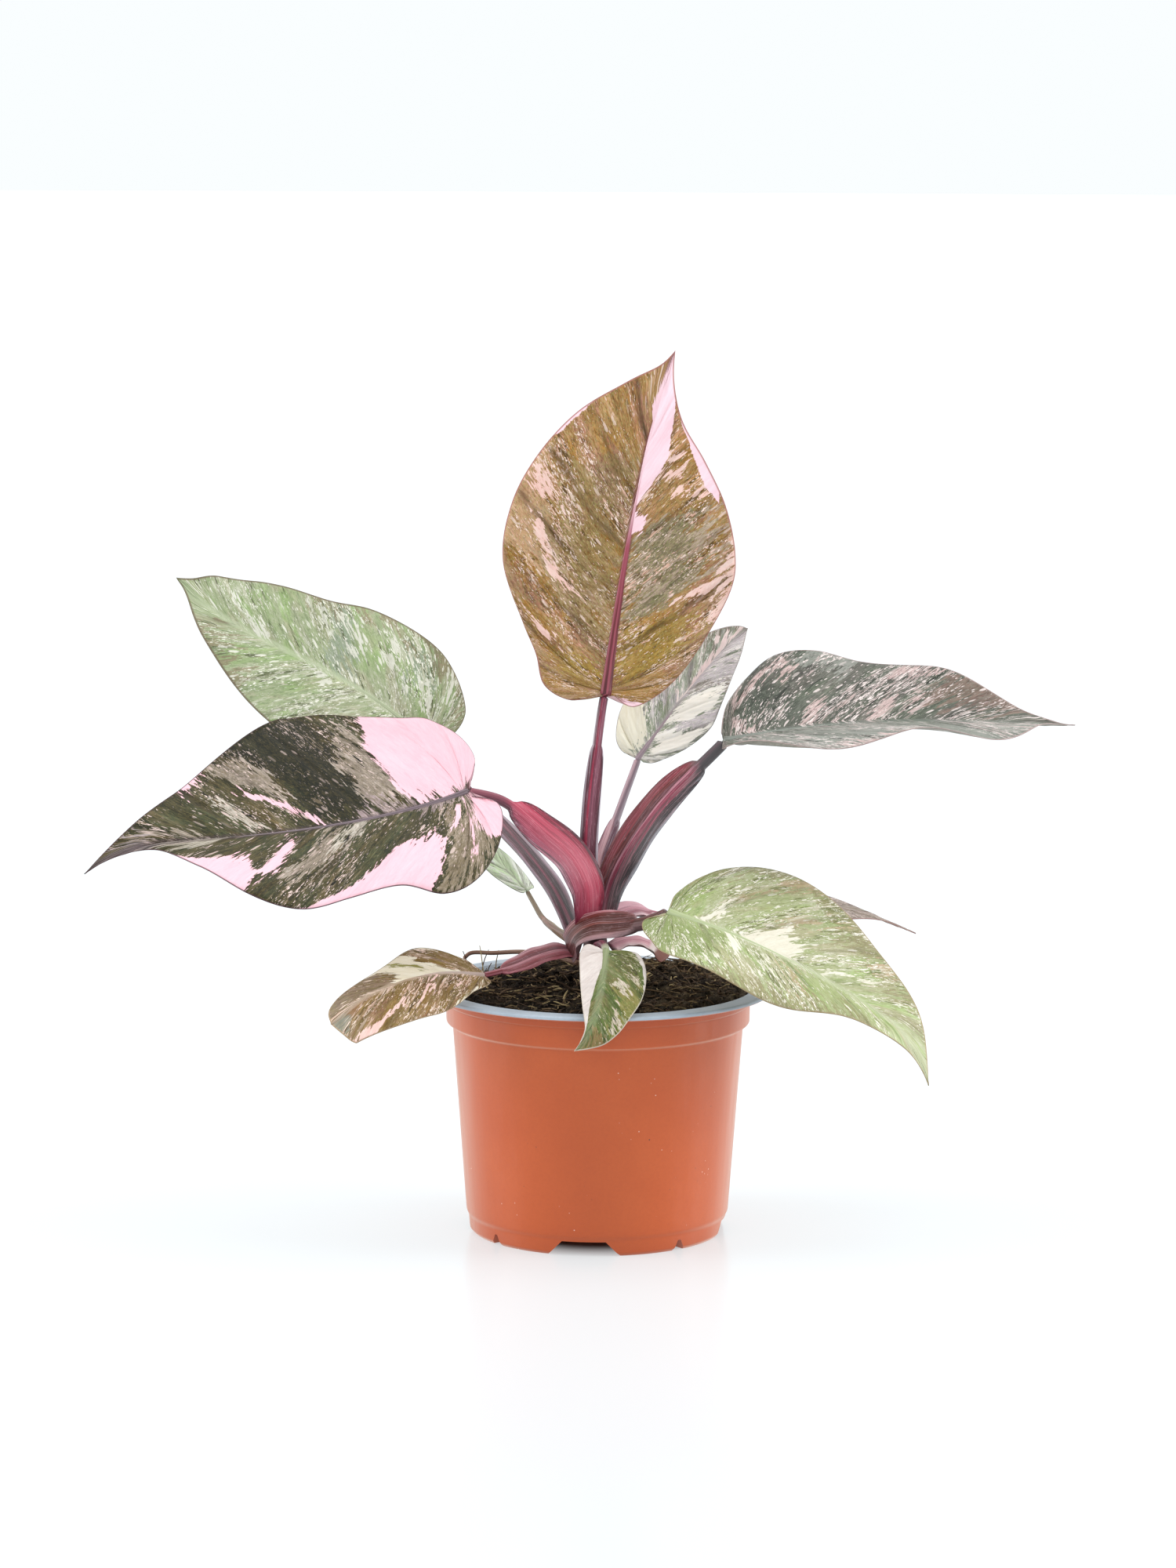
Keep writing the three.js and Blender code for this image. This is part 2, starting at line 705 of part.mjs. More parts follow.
    petiole: {
      route: [[-7, -5, 97], [-13.5, -12, 99], [-20.5, -19, 98.5], [-27.5, -25, 96.5],
        [-33.5, -28, 95], [-38.4, -29.6, 94.1]],
      face: [0.1, -0.5, 0.85],
      stalk: [1.4, 1],
      sheath: { half: 3.2, rise: 0.8, end: 0.74 },
    },
    midrib: [[-39, -30, 94], [-55, -38, 96], [-70.5, -46, 93], [-89.5, -50, 82.5]],
    hook: [0, 1, -2],
    face: [[-0.2, -0.5, 0.85], [-0.4, -0.5, 0.7]],
    left: {
      outline: [[0, 0.03], [-0.04, 0.04], [0, 0.09], [0.11, 0.15], [0.25, 0.23], [0.43, 0.29],
        [0.6, 0.3], [0.76, 0.28], [0.91, 0.21], [0.98, 0.1]],
      fold: [-12, -10],
      curl: -10,
      wave: [0.5, 2, 0],
    },
    right: {
      outline: [[0, 0.04], [0.05, 0.1], [0.12, 0.18], [0.23, 0.25], [0.35, 0.27], [0.58, 0.2],
        [0.8, 0.15], [0.95, 0.12]],
      fold: [4, 0],
      curl: -4,
      wave: [0.5, 2, 0.5],
    },
  },
  {
    name: 'front',
    colours: [colour.wine, colour.sage],
    rows: 12,
    petiole: {
      route: [[0, -6, 97], [0.5, -14, 101], [1, -26, 104.2], [2.3, -40, 105.4]],
      face: [0, -0.1, 1],
      stalk: [1.7, 1.3],
      sheath: { half: 2.6, rise: 0.8, end: 0.5 },
    },
    midrib: [[2.5, -42, 104.5], [1, -54, 95.5], [-1.5, -62, 85.5], [-6, -65, 77]],
    hook: [-2, 0, -2],
    face: [[0, -0.7, 0.7], [0.1, -0.95, 0.3]],
    left: {
      outline: [[0, 0.05], [-0.02, 0.14], [0, 0.26], [0.1, 0.33], [0.25, 0.355], [0.42, 0.34],
        [0.57, 0.285], [0.72, 0.23], [0.84, 0.165], [0.93, 0.08]],
      fold: [4, 6],
      curl: -14,
      wave: [0.3, 2, 0],
    },
    right: {
      outline: [[0, 0.05], [-0.08, 0.12], [-0.07, 0.18], [0.04, 0.21], [0.16, 0.2], [0.36, 0.17],
        [0.6, 0.11], [0.8, 0.04]],
      fold: [4, 6],
      curl: -14,
      wave: [0.3, 2, 0.5],
    },
  },
  {
    name: 'tiny_back',
    colours: [colour.tan, colour.sage],
    rows: 10,
    petiole: {
      route: [[-8, 6, 98.5], [-14.5, 14, 102], [-19.5, 22, 105], [-22.5, 30, 108.5],
        [-24.8, 33.8, 112]],
      face: [0.6, -0.4, 0.7],
      stalk: [1.2, 0.8],
      sheath: { half: 2, rise: 0.6, end: 0.5 },
    },
    midrib: [[-25, 34, 112.5], [-34, 38, 120.5], [-43.5, 41, 129], [-53, 43, 136.5]],
    face: [[0.3, -0.7, 0.6], [0.3, -0.7, 0.6]],
    left: {
      outline: [[0, 0.05], [0.04, 0.08], [0.2, 0.13], [0.45, 0.15], [0.7, 0.1], [0.88, 0.04]],
      fold: [8, 8],
      curl: -8,
      wave: [0.2, 2, 0],
    },
    right: {
      outline: [[0, 0.05], [-0.01, 0.08], [0.1, 0.11], [0.3, 0.13], [0.5, 0.12], [0.7, 0.09],
        [0.88, 0.03]],
      fold: [8, 8],
      curl: -8,
      wave: [0.2, 2, 0.5],
    },
  },
];

// What is left of two earlier leaves: a torn pink sheath and a dry stalk.
const remnants = [
  {
    name: 'old_sheath',
    colour: colour.blush,
    route: [[4.5, -1, 98.5], [10, 2, 100], [16, 3, 99.4], [20, 3, 97], [23, 2, 93.5]],
    face: [0.1, -0.3, 1],
    stalk: [1.2, 0.8],
    sheath: { half: 3.4, rise: 0.8, end: 1.3 },
  },
  {
    name: 'dry_stalk',
    colour: colour.tan,
    route: [[-6.5, 5, 92], [-17, 15, 93], [-27, 24, 92.5], [-37, 30, 91], [-45, 32, 90.5],
      [-47.5, 31, 88.5]],
    face: [0, 0, 1],
    stalk: [0.9, 0.7],
    sheath: { half: 1, rise: 0, end: 0.1 },
  },
];

// ---- assembly -----------------------------------------------------------------------------------

function meshFor(name, solid, hue, roughness = 0.5) {
  const material = new THREE.MeshStandardMaterial({ color: hue, roughness, metalness: 0 });
  const mesh = new THREE.Mesh(geometryOf(solid), material);
  mesh.name = name;
  return mesh;
}

const plant = new THREE.Group();
plant.add(meshFor('pot', makePot(), colour.pot, 0.45));
plant.add(meshFor('soil', makeSoil(), colour.soil, 0.95));
plant.add(meshFor('stem', makeStem(0), colour.stem));

// Each stalk is cut clear of the stem and of the stalks that stand inside it.
let taken = makeStem(gap);
for (const leaf of leaves) {
  const stalk = tidied(makePetiole(leaf.petiole).subtract(taken));
  const guard = makePetiole(leaf.petiole, gap);
  plant.add(meshFor(`petiole_${leaf.name}`, stalk, leaf.colours[0]));
  plant.add(meshFor(`blade_${leaf.name}`, tidied(makeBlade(leaf).subtract(guard)), leaf.colours[1]));
  taken = taken.add(guard);
}
for (const remnant of remnants) {
  const piece = tidied(makePetiole(remnant).subtract(taken));
  plant.add(meshFor(remnant.name, piece, remnant.colour, 0.7));
  taken = taken.add(makePetiole(remnant, gap));
}

export default plant;
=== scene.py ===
"""A young pink princess philodendron in its nursery pot.

Sizes are in millimetres and become metres as they enter a mesh. +X is to the right, +Y away from the
front and +Z up. Each piece of the scene stands for one CAD node and keeps its form.
"""
import math

import bpy
import numpy as np
from mathutils import Matrix, Vector, noise


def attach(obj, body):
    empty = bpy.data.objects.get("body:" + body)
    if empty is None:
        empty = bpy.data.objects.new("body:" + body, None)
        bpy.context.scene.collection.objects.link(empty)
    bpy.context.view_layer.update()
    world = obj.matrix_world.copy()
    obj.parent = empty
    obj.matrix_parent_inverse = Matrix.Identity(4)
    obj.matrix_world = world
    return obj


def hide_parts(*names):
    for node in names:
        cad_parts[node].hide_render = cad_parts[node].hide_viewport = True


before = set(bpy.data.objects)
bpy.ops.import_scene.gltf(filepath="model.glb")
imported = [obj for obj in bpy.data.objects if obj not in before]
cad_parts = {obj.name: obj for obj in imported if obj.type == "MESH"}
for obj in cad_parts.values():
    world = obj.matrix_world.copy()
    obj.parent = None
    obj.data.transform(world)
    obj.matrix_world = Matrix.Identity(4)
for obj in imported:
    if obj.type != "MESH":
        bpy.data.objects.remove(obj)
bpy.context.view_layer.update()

MM = 0.001

# ---- driving dimensions ---------------------------------------------------------------------------

POT = {
    "height": 85.3,
    "lip_radius": 60.0,
    "lip_thickness": 1.5,
    "mouth_radius": 53.6,
    "band_radius": 52.4,
    "band_bottom": 73.0,
    "crease_height": 80.0,
    "wall_top_radius": 50.2,
    "wall_bottom_radius": 45.4,
    "foot_radius": 44.4,
    "foot_height": 5.4,
    "foot_bevel": 1.0,
    "foot_step": 1.6,
    "lip_bevel": 0.5,
    "wall": 1.1,
    "segments": 192,
}
CHANNEL = {"turn": -6.0, "top_width": 15.0, "bottom_width": 24.6, "height": 5.0, "inner_radius": 19.0}
GROOVE = {"turn": 39.0, "top_width": 1.2, "bottom_width": 4.8, "height": 3.6, "inner_radius": 38.0}
DRAIN = {"radius": 4.0, "from_axis": 30.0}
QUARTERS = (0, 90, 180, 270)

SOIL = {
    "level": 83.6,
    "rim_gap": 2.2,
    "gap": 1.4,
    "mound": 2.2,
    "mound_radius": 26.0,
    "bump": 1.0,
    "ring_step": 0.8,
    "segments": 180,
    "seed": 11,
}
# Low heaps of soil at the back: height, x, y and radius.
HEAPS = ((1.4, 0, 16, 26), (3.0, 33, 35, 13), (2.4, 8, 42, 14), (1.8, -20, 38, 13))
# The roughness of the soil's top: height, how many lumps to a millimetre, and the layer of the noise.
ROUGHNESS = ((1.5, 0.45, 3.0), (1.0, 1.1, 7.0), (0.5, 2.4, 1.0))
# What is strewn on the soil: the least size and how much more it can be, and the tilt in degrees.
CRUMB = {"count": 900, "smallest": 0.35, "more": 1.7}
FIBRE = {"count": 1000, "shortest": 2.5, "more": 9.5, "radius": 0.14, "radius_more": 0.30, "tilt": 12}
# Stray roots that stick out of the soil at the left.
ROOT = {"count": 9, "from_axis": 44, "further": 6, "turn": 140, "turn_more": 38, "radius": 0.2}

STEM = {"x": -1.0, "y": 1.0, "foot": 44.0, "top": 112.0, "radius": 4.6, "scar_step": 5.0, "scar": 0.06}
STALK = {
    "steps_along": 72,
    "steps_around": 40,
    "route_steps": 400,
    "sheath_edge": 0.62,
    "sheath_keel": 0.5,
    "foot_reach": 0.35,
    "end_round": 0.7,
    "flutter": 0.25,
}
BLADE = {
    "steps_along": 168,
    "steps_out": 22,
    "margin_steps": 1200,
    "thickness": 0.7,
    "quilt": 0.3,
    "groove": 0.26,
    "groove_half": 0.7,
    "crinkle": 0.10,
    "sweep": 0.35,
    "vein_foot": 0.02,
    "lobe": 0.3,
    "spread": 1.1,
    "hook_start": 0.75,
    "rows": 18,
    "slant": 0.07,
}
# The halves of a blade and the sign of their side.
HALVES = (("left", -1), ("right", 1))
# The rib starts so many millimetres before the blade, ends at a share of it, and flares in millimetres.
RIB = {"steps_along": 90, "steps_around": 14, "before": 0.8, "end": 0.965, "thinnest": 0.08, "flare": 7}
# How far from a sector's edge its depth is still told apart, and how soft its torn edge is, in mm.
ZONE_REACH = 30.0
ZONE_SOFTNESS = 0.22
# The ends of a sector are torn this much further along the veins than its sides across them.
ZONE_END_DRAW = 2.5

# The tone of the painted shade that darkens a blade in the creases over its veins.
CREASE_SHADE = "8C8078"

# Points that lie closer than this, in metres, become one.
MERGE_DISTANCE = 2e-6
# Nearly a whole turn, in radians, for a random one.
ANY_TURN = 6.28

# The lamps: name, place and size in metres, and watts.
LAMPS = (
    ("soft_left", (-1.9, -0.2, 0.8), 1.2, 24),
    ("soft_right", (1.9, -0.1, 0.8), 1.2, 29),
    ("soft_top", (0.0, 0.2, 2.2), 1.6, 10),
)
LAMP_AIM = (0, 0, 0.14)
CAMERA = {"place": (-0.00377, -1.6, 0.383), "lens": 108.05, "sensor": 36, "tilt": 0.1413, "roll": 0.0041}

# ---- small helpers --------------------------------------------------------------------------------


def tone(code):
    """A linear colour from its six hexadecimal digits."""
    shares = [int(code[i:i + 2], 16) / 255 for i in (0, 2, 4)]
    return tuple(s / 12.92 if s <= 0.04045 else ((s + 0.055) / 1.055) ** 2.4 for s in shares) + (1.0,)


def deselect():
    bpy.ops.object.select_all(action="DESELECT")


def pick(piece):
    deselect()
    piece.select_set(True)
    bpy.context.view_layer.objects.active = piece


def settle(name):
    """Names the new primitive and moves its place into its mesh."""
    piece = bpy.context.object
    piece.name = name
    piece.data.name = name
    bpy.ops.object.transform_apply(location=True, rotation=True, scale=True)
    return piece


def edit(piece, select="SELECT"):
    pick(piece)
    bpy.ops.object.mode_set(mode="EDIT")
    bpy.ops.mesh.select_all(action=select)


def leave_edit():
    bpy.ops.object.mode_set(mode="OBJECT")


def apply(piece, kind, **settings):
    """Adds one modifier and applies it."""
    pick(piece)
    modifier = piece.modifiers.new(kind.lower(), kind)
    for key, value in settings.items():
        setattr(modifier, key, value)
    bpy.ops.object.modifier_apply(modifier=modifier.name)


def cut(piece, tool):
    """Takes the tool out of the piece."""
    apply(piece, "BOOLEAN", operation="DIFFERENCE", object=tool, solver="EXACT")
    bpy.data.objects.remove(tool)


def points_of(piece):
    flat = np.empty(len(piece.data.vertices) * 3)
    piece.data.vertices.foreach_get("co", flat)
    return flat.reshape(-1, 3)


def place_points(piece, points):
    piece.data.vertices.foreach_set("co", np.asarray(points, float).ravel())
    piece.data.update()


def store(piece, name, values):
    """Keeps one number or one vector for each point of the mesh, for the materials to read."""
    values = np.asarray(values, float)
    kind, key = ("FLOAT", "value") if values.ndim == 1 else ("FLOAT_VECTOR", "vector")
    attribute = piece.data.attributes.new(name, kind, "POINT")
    attribute.data.foreach_set(key, values.ravel())


def smooth(piece, degrees=None):
    pick(piece)
    if degrees is None:
        bpy.ops.object.shade_smooth()
    else:
        bpy.ops.object.shade_smooth_by_angle(angle=math.radians(degrees))


def merge(piece):
    """Makes one point of those that lie on each other."""
    edit(piece)
    bpy.ops.mesh.remove_doubles(threshold=MERGE_DISTANCE)
    leave_edit()


def join(pieces):
    """Joins the pieces into the first one."""
    deselect()
    for piece in pieces:
        piece.select_set(True)
    bpy.context.view_layer.objects.active = pieces[0]
    bpy.ops.object.join()
    return pieces[0]


def hand_over(piece, node, materials=()):
    """The finished piece takes its materials and stands for its CAD node."""
    for material in materials:
        piece.data.materials.append(material)
    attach(piece, "root")
    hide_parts(node)


def point_outwards(piece):
    """Turns every face of a closed mesh outwards."""
    edit(piece)
    bpy.ops.mesh.normals_make_consistent(inside=False)
    leave_edit()


def lerp(a, b, t):
    return a + (b - a) * t


def spin_by(angle, axis):
    return Matrix.Rotation(angle, 4, axis)


def unit(vectors):
    return vectors / np.linalg.norm(vectors, axis=-1, keepdims=True)


def smoothstep(x, low, high):
    t = np.clip((x - low) / (high - low), 0, 1)
    return t * t * (3 - 2 * t)


# ---- materials ------------------------------------------------------------------------------------


def spread(stops):
    """Stops for a ramp: as given, or evenly spaced where the tones are given as one string."""
    if not isinstance(stops, str):
        return stops
    codes = stops.split()
    return [(i / (len(codes) - 1), code) for i, code in enumerate(codes)]


class Finish:
    """One procedural material. Most of its methods add a shader node and return that node's output."""

    def __init__(self, name, roughness=0.5, specular=0.5):
        self.material = bpy.data.materials.new(name)
        self.material.use_nodes = True
        self.tree = self.material.node_tree
        self.shader = self.tree.nodes["Principled BSDF"]
        self.shader.inputs["Roughness"].default_value = roughness
        self.shader.inputs["Specular IOR Level"].default_value = specular

    def feed(self, socket, value):
        if isinstance(value, bpy.types.NodeSocket):
            self.tree.links.new(value, socket)
        else:
            socket.default_value = value

    def node(self, kind, inputs=(), **settings):
        node = self.tree.nodes.new(kind)
        for key, value in settings.items():
            setattr(node, key, value)
        for key, value in dict(inputs).items():
            self.feed(node.inputs[key], value)
        return node

    def place(self):
        return self.node("ShaderNodeTexCoord").outputs["Object"]

    def kept(self, name, output="Vector"):
        return self.node("ShaderNodeAttribute", attribute_name=name).outputs[output]

    def split(self, vector):
        return self.node("ShaderNodeSeparateXYZ", {"Vector": vector}).outputs

    def stretch(self, vector, scale, shift=(0, 0, 0)):
        inputs = {"Vector": vector, "Scale": scale, "Location": shift}
        return self.node("ShaderNodeMapping", inputs).outputs["Vector"]

    def noise(self, vector, scale=1.0, detail=2.0, roughness=0.5, distortion=0.0):
        inputs = {
            "Vector": vector, "Scale": scale, "Detail": detail,
            "Roughness": roughness, "Distortion": distortion,
        }
        return self.node("ShaderNodeTexNoise", inputs).outputs["Fac"]

    def cells(self, vector, scale=1.0):
        """The distance to the nearest of the points strewn through space."""
        inputs = {"Vector": vector, "Scale": scale}
        return self.node("ShaderNodeTexVoronoi", inputs).outputs["Distance"]

    def calc(self, operation, a, b=0.0, c=0.0, clamp=False):
        node = self.node("ShaderNodeMath", operation=operation, use_clamp=clamp)
        for socket, value in zip(node.inputs, (a, b, c)):
            self.feed(socket, value)
        return node.outputs[0]

    def centred(self, value):
        """A noise's value less its middle."""
        return self.calc("SUBTRACT", value, 0.5)

    def rise(self, value, low, high, start=0.0, end=1.0):
        """Goes smoothly from start to end while the value goes from low to high."""
        inputs = {"Value": value, "From Min": low, "From Max": high, "To Min": start, "To Max": end}
        return self.node("ShaderNodeMapRange", inputs, interpolation_type="SMOOTHSTEP").outputs[0]

    def ramp(self, value, stops):
        node = self.node("ShaderNodeValToRGB", {"Fac": value})
        elements = node.color_ramp.elements
        while len(elements) < len(stops):
            elements.new(0.5)
        for element, (position, code) in zip(elements, stops):
            element.position = position
            element.color = tone(code)
        return node.outputs["Color"]

    def mix(self, share, a, b, blend="MIX"):
        node = self.node("ShaderNodeMix", data_type="RGBA", blend_type=blend)
        self.feed(node.inputs[0], share)
        for socket, value in zip((node.inputs[6], node.inputs[7]), (a, b)):
            self.feed(socket, tone(value) if isinstance(value, str) else value)
        return node.outputs[2]

    def lay(self, colour, code, value, low, high, start=0.0, end=1.0):
        """Lays a tone over the colour, the more the further the value has risen."""
        return self.mix(self.rise(value, low, high, start, end), colour, code)

    def lay_where(self, colour, code, share, other):
        """Lays a tone over the colour where both shares are high."""
        return self.mix(self.calc("MULTIPLY", share, other), colour, code)

    def bump(self, height, distance, strength=1.0):
        """Raises the surface by up to that many millimetres."""
        inputs = {"Height": height, "Distance": distance * MM, "Strength": strength}
        normal = self.node("ShaderNodeBump", inputs).outputs["Normal"]
        self.feed(self.shader.inputs["Normal"], normal)

    def colour(self, value):
        self.feed(self.shader.inputs["Base Color"], value)
        return self.material

    def roughness(self, value):
        self.feed(self.shader.inputs["Roughness"], value)


# ---- pot ------------------------------------------------------------------------------------------


def pot_skin(inset):
    """The outer skin from the foot up to the underside of the lip, drawn inwards by the inset."""
    foot, wall_foot, wall_top = POT["foot_radius"], POT["wall_bottom_radius"], POT["wall_top_radius"]
    band, crease = POT["band_radius"], POT["crease_height"]
    profile = [
        (foot - POT["foot_bevel"], inset),
        (foot, POT["foot_bevel"] + inset),
        (foot + 0.2, POT["foot_height"] + inset / 2),
        (wall_foot, POT["foot_height"] + POT["foot_step"] + inset / 2),
        (wall_top, POT["band_bottom"] - 1),
        (band, POT["band_bottom"] + 0.2),
        (band + 0.1, crease),
        (band + 0.6, crease + 0.4),
    ]
    return [(radius - inset, height) for radius, height in profile]


def rounded(profile, radius, steps=3):
    """The profile with an arc in place of each inner corner."""
    points = [Vector(p) for p in profile]
    result = [points[0]]
    for before, corner, after in zip(points, points[1:], points[2:]):
        to_before = before - corner
        to_after = after - corner
        reach = min(radius, to_before.length * 0.4, to_after.length * 0.4)
        start = corner + to_before.normalized() * reach
        end = corner + to_after.normalized() * reach
        for i in range(steps + 1):
            t = i / steps
            result.append(start.lerp(corner, t).lerp(corner.lerp(end, t), t))
    result.append(points[-1])
    return [tuple(p) for p in result]


def turned(name, profile, segments):
    """A solid of revolution, drawn up ring by ring along (radius, height)."""
    radius, height = profile[0]
    deselect()
    bpy.ops.mesh.primitive_circle_add(
        vertices=segments, radius=radius * MM, fill_type="NGON", location=(0, 0, height * MM))
    piece = settle(name)
    edit(piece)
    for (old_radius, old_height), (new_radius, new_height) in zip(profile, profile[1:]):
        lift = (0, 0, (new_height - old_height) * MM)
        bpy.ops.mesh.extrude_region_move(TRANSFORM_OT_translate={"value": lift})
        grow = new_radius / old_radius
        bpy.ops.transform.resize(value=(grow, grow, 1))
    leave_edit()
    point_outwards(piece)
    return piece


def foot_cut(shape, turn, grow=0.0):
    """A bar with sloping sides that runs out under the foot."""
    below = 2.0
    start = shape["inner_radius"] - grow
    end = POT["lip_radius"]
    top = shape["height"] + grow
    slope = (shape["bottom_width"] - shape["top_width"]) / 2 / shape["height"]
    side = grow * math.hypot(1, slope)
    top_half = shape["top_width"] / 2 + side - slope * grow
    bottom_half = shape["bottom_width"] / 2 + side + slope * below
    deselect()
    bpy.ops.mesh.primitive_cube_add(size=1)
    bar = settle("foot_cut")
    bar.scale = (2 * bottom_half * MM, (end - start) * MM, (top + below) * MM)
    bar.location = (0, -(start + end) / 2 * MM, (top - below) / 2 * MM)
    pick(bar)
    bpy.ops.object.transform_apply(location=True, scale=True)
    edit(bar, "DESELECT")
    bpy.ops.mesh.select_mode(type="FACE")
    leave_edit()
    for polygon in bar.data.polygons:
        polygon.select = polygon.normal.z > 0.9
    bpy.ops.object.mode_set(mode="EDIT")
    bpy.ops.transform.resize(value=(top_half / bottom_half, 1, 1))
    bpy.ops.mesh.select_mode(type="VERT")
    leave_edit()
    bar.data.transform(spin_by(math.radians(turn), "Z"))
    return bar


def drain_hole(turn):
    deselect()
    place = (0, -DRAIN["from_axis"] * MM, CHANNEL["height"] * MM)
    bpy.ops.mesh.primitive_cylinder_add(
        vertices=32, radius=DRAIN["radius"] * MM, depth=6 * POT["wall"] * MM, location=place)
    hole = settle("drain_hole")
    hole.data.transform(spin_by(math.radians(turn), "Z"))
    return hole


def pot_outside_finish():
    """Terracotta-coloured sheet plastic: faint mottling, fine scratches and a few specks of dust, with
    painted shade at the foot and in the band's crease, and a painted highlight on the band's lower edge.
    """
    finish = Finish("terracotta_sheet", roughness=0.42, specular=0.5)
    facing = finish.node("ShaderNodeLayerWeight", {"Blend": 0.5}).outputs["Facing"]
    finish.feed(finish.shader.inputs["Sheen Weight"], finish.rise(facing, 0.25, 0.80, 0.1, 0.55))
    finish.shader.inputs["Sheen Roughness"].default_value = 0.5
    finish.shader.inputs["Sheen Tint"].default_value = (1.0, 0.86, 0.74, 1)
    place = finish.place()
    cloud = finish.noise(place, 28, 3, 0.6)
    fine = finish.noise(place, 900, 2, 0.7)
    wiped = finish.noise(finish.stretch(place, (260, 260, 30)), 1, 2, 0.6)
    colour = finish.ramp(cloud, [(0.30, "B64E1B"), (0.55, "BA521E"), (0.75, "BE5622")])
    colour = finish.lay(colour, "A6441A", fine, 0.35, 0.75, 0, 0.20)
    height = finish.split(place)[2]
    # Painted shade: the wall is painted darker towards the foot, where it nears the floor.
    colour = finish.lay(colour, "8A3716", height, 0.0, 0.012, 0.22, 0.0)
    # Painted shade: a faint dark line in the small step of the band at the crease.
    crease = finish.calc("ABSOLUTE", finish.calc("SUBTRACT", height, POT["crease_height"] * MM))
    colour = finish.lay(colour, "A0451C", crease, 0.0002, 0.0007, 0.30, 0.0)
    # Painted highlight: a thin light line along the band's lower edge.
    rim = finish.calc("ABSOLUTE", finish.calc("SUBTRACT", height, (POT["band_bottom"] - 0.2) * MM))
    colour = finish.lay(colour, "E0906A", rim, 0.0001, 0.0005, 0.2, 0.0)
    dust = finish.cells(place, 420)
    thin = finish.rise(finish.noise(place, 95, 1), 0.60, 0.68)
    colour = finish.lay_where(colour, "E6C9BB", finish.rise(dust, 0.05, 0.12, 0.75, 0.0), thin)
    dirt = finish.cells(finish.stretch(place, (1, 1, 1), (0.3, 0.1, 0.2)), 300)
    rare = finish.rise(finish.noise(finish.stretch(place, (1, 1, 1), (2, 1, 5)), 80, 1), 0.62, 0.70)
    colour = finish.lay_where(colour, "3A2A22", finish.rise(dirt, 0.05, 0.11, 0.85, 0.0), rare)
    finish.roughness(finish.rise(wiped, 0.3, 0.75, 0.28, 0.40))
    finish.bump(finish.calc("ADD", finish.calc("MULTIPLY", fine, 0.3), wiped), 0.03, 0.6)
    return finish.colour(colour)


def pot_inside_finish():
    """The blue-grey layer of the sheet, which shows inside and on the lip."""
    finish = Finish("blue_grey_sheet", roughness=0.45, specular=0.45)
    place = finish.place()
    cloud = finish.noise(place, 60, 3, 0.6)
    fine = finish.noise(place, 1100, 2, 0.7)
    colour = finish.ramp(cloud, [(0.32, "99A4B0"), (0.55, "A6B1BC"), (0.75, "B2BCC6")])
    dust = finish.rise(finish.cells(place, 380), 0.06, 0.16, 0.7, 0.0)
    rare = finish.rise(finish.noise(place, 120, 1), 0.55, 0.66)
    colour = finish.lay_where(colour, "4A3C30", dust, rare)
    colour = finish.lay(colour, "7F8A96", fine, 0.4, 0.7, 0, 0.15)
    finish.bump(fine, 0.03, 0.5)
    return finish.colour(colour)


def make_pot():
    """A solid of the outside less the hollow, with a foot cut by channels, grooves and drain holes."""
    height, mouth, band, lip = POT["height"], POT["mouth_radius"], POT["band_radius"], POT["lip_radius"]
    lip_bottom = height - POT["lip_thickness"]
    outer_lip = [
        (band + 0.8, lip_bottom),
        (lip - POT["lip_bevel"], lip_bottom - 0.1),
        (lip, lip_bottom + 0.3),
        (lip, height - 0.4),
        (lip - POT["lip_bevel"], height),
        (mouth - 1, height),
    ]
    outside = turned("pot", rounded(pot_skin(0) + outer_lip, 0.6), POT["segments"])
    wall = POT["wall"]
    mouth_edge = [(band - 0.2, lip_bottom - 0.6), (mouth, height), (mouth + 0.4, height + 1)]
    hollow = turned("hollow", rounded(pot_skin(wall) + mouth_edge, 0.8), POT["segments"])
    for quarter in QUARTERS:
        for shape in (CHANNEL, GROOVE):
            cut(outside, foot_cut(shape, shape["turn"] + quarter))
            cut(hollow, foot_cut(shape, shape["turn"] + quarter, wall))
    cut(outside, hollow)
    for quarter in QUARTERS:
        cut(outside, drain_hole(CHANNEL["turn"] + quarter))
    merge(outside)
    for face in outside.data.polygons:
        x, y, z = face.center / MM
        radius = math.hypot(x, y)
        inward = face.normal.x * x + face.normal.y * y < -0.3 * radius
        on_lip = radius > mouth - 1.2 and z > lip_bottom + 0.25
        face.material_index = 1 if on_lip or (inward and z > POT["foot_height"] + 3) else 0
    smooth(outside, 28)
    hand_over(outside, "pot", (pot_outside_finish(), pot_inside_finish()))


# ---- soil -----------------------------------------------------------------------------------------


def soil_height(x, y):
    """A gentle rise to the stem, with small lumps and low heaps that fade out at the rim."""
    from_axis = np.hypot(x, y)
    from_rim = POT["mouth_radius"] - from_axis
    lumps = np.sin(0.42 * x + 1.3) * np.cos(0.37 * y) + 0.6 * np.sin(0.9 * x - 0.7 * y)
    mound = SOIL["mound"] * np.exp(-((from_axis / SOIL["mound_radius"]) ** 2))
    heaps = sum(high * np.exp(-(((x - a) ** 2 + (y - b) ** 2) / wide ** 2)) for high, a, b, wide in HEAPS)
    broad = smoothstep(from_rim, 1, 12) * (mound + SOIL["bump"] * lumps)
    return SOIL["level"] + broad + smoothstep(from_rim, 2, 7) * heaps


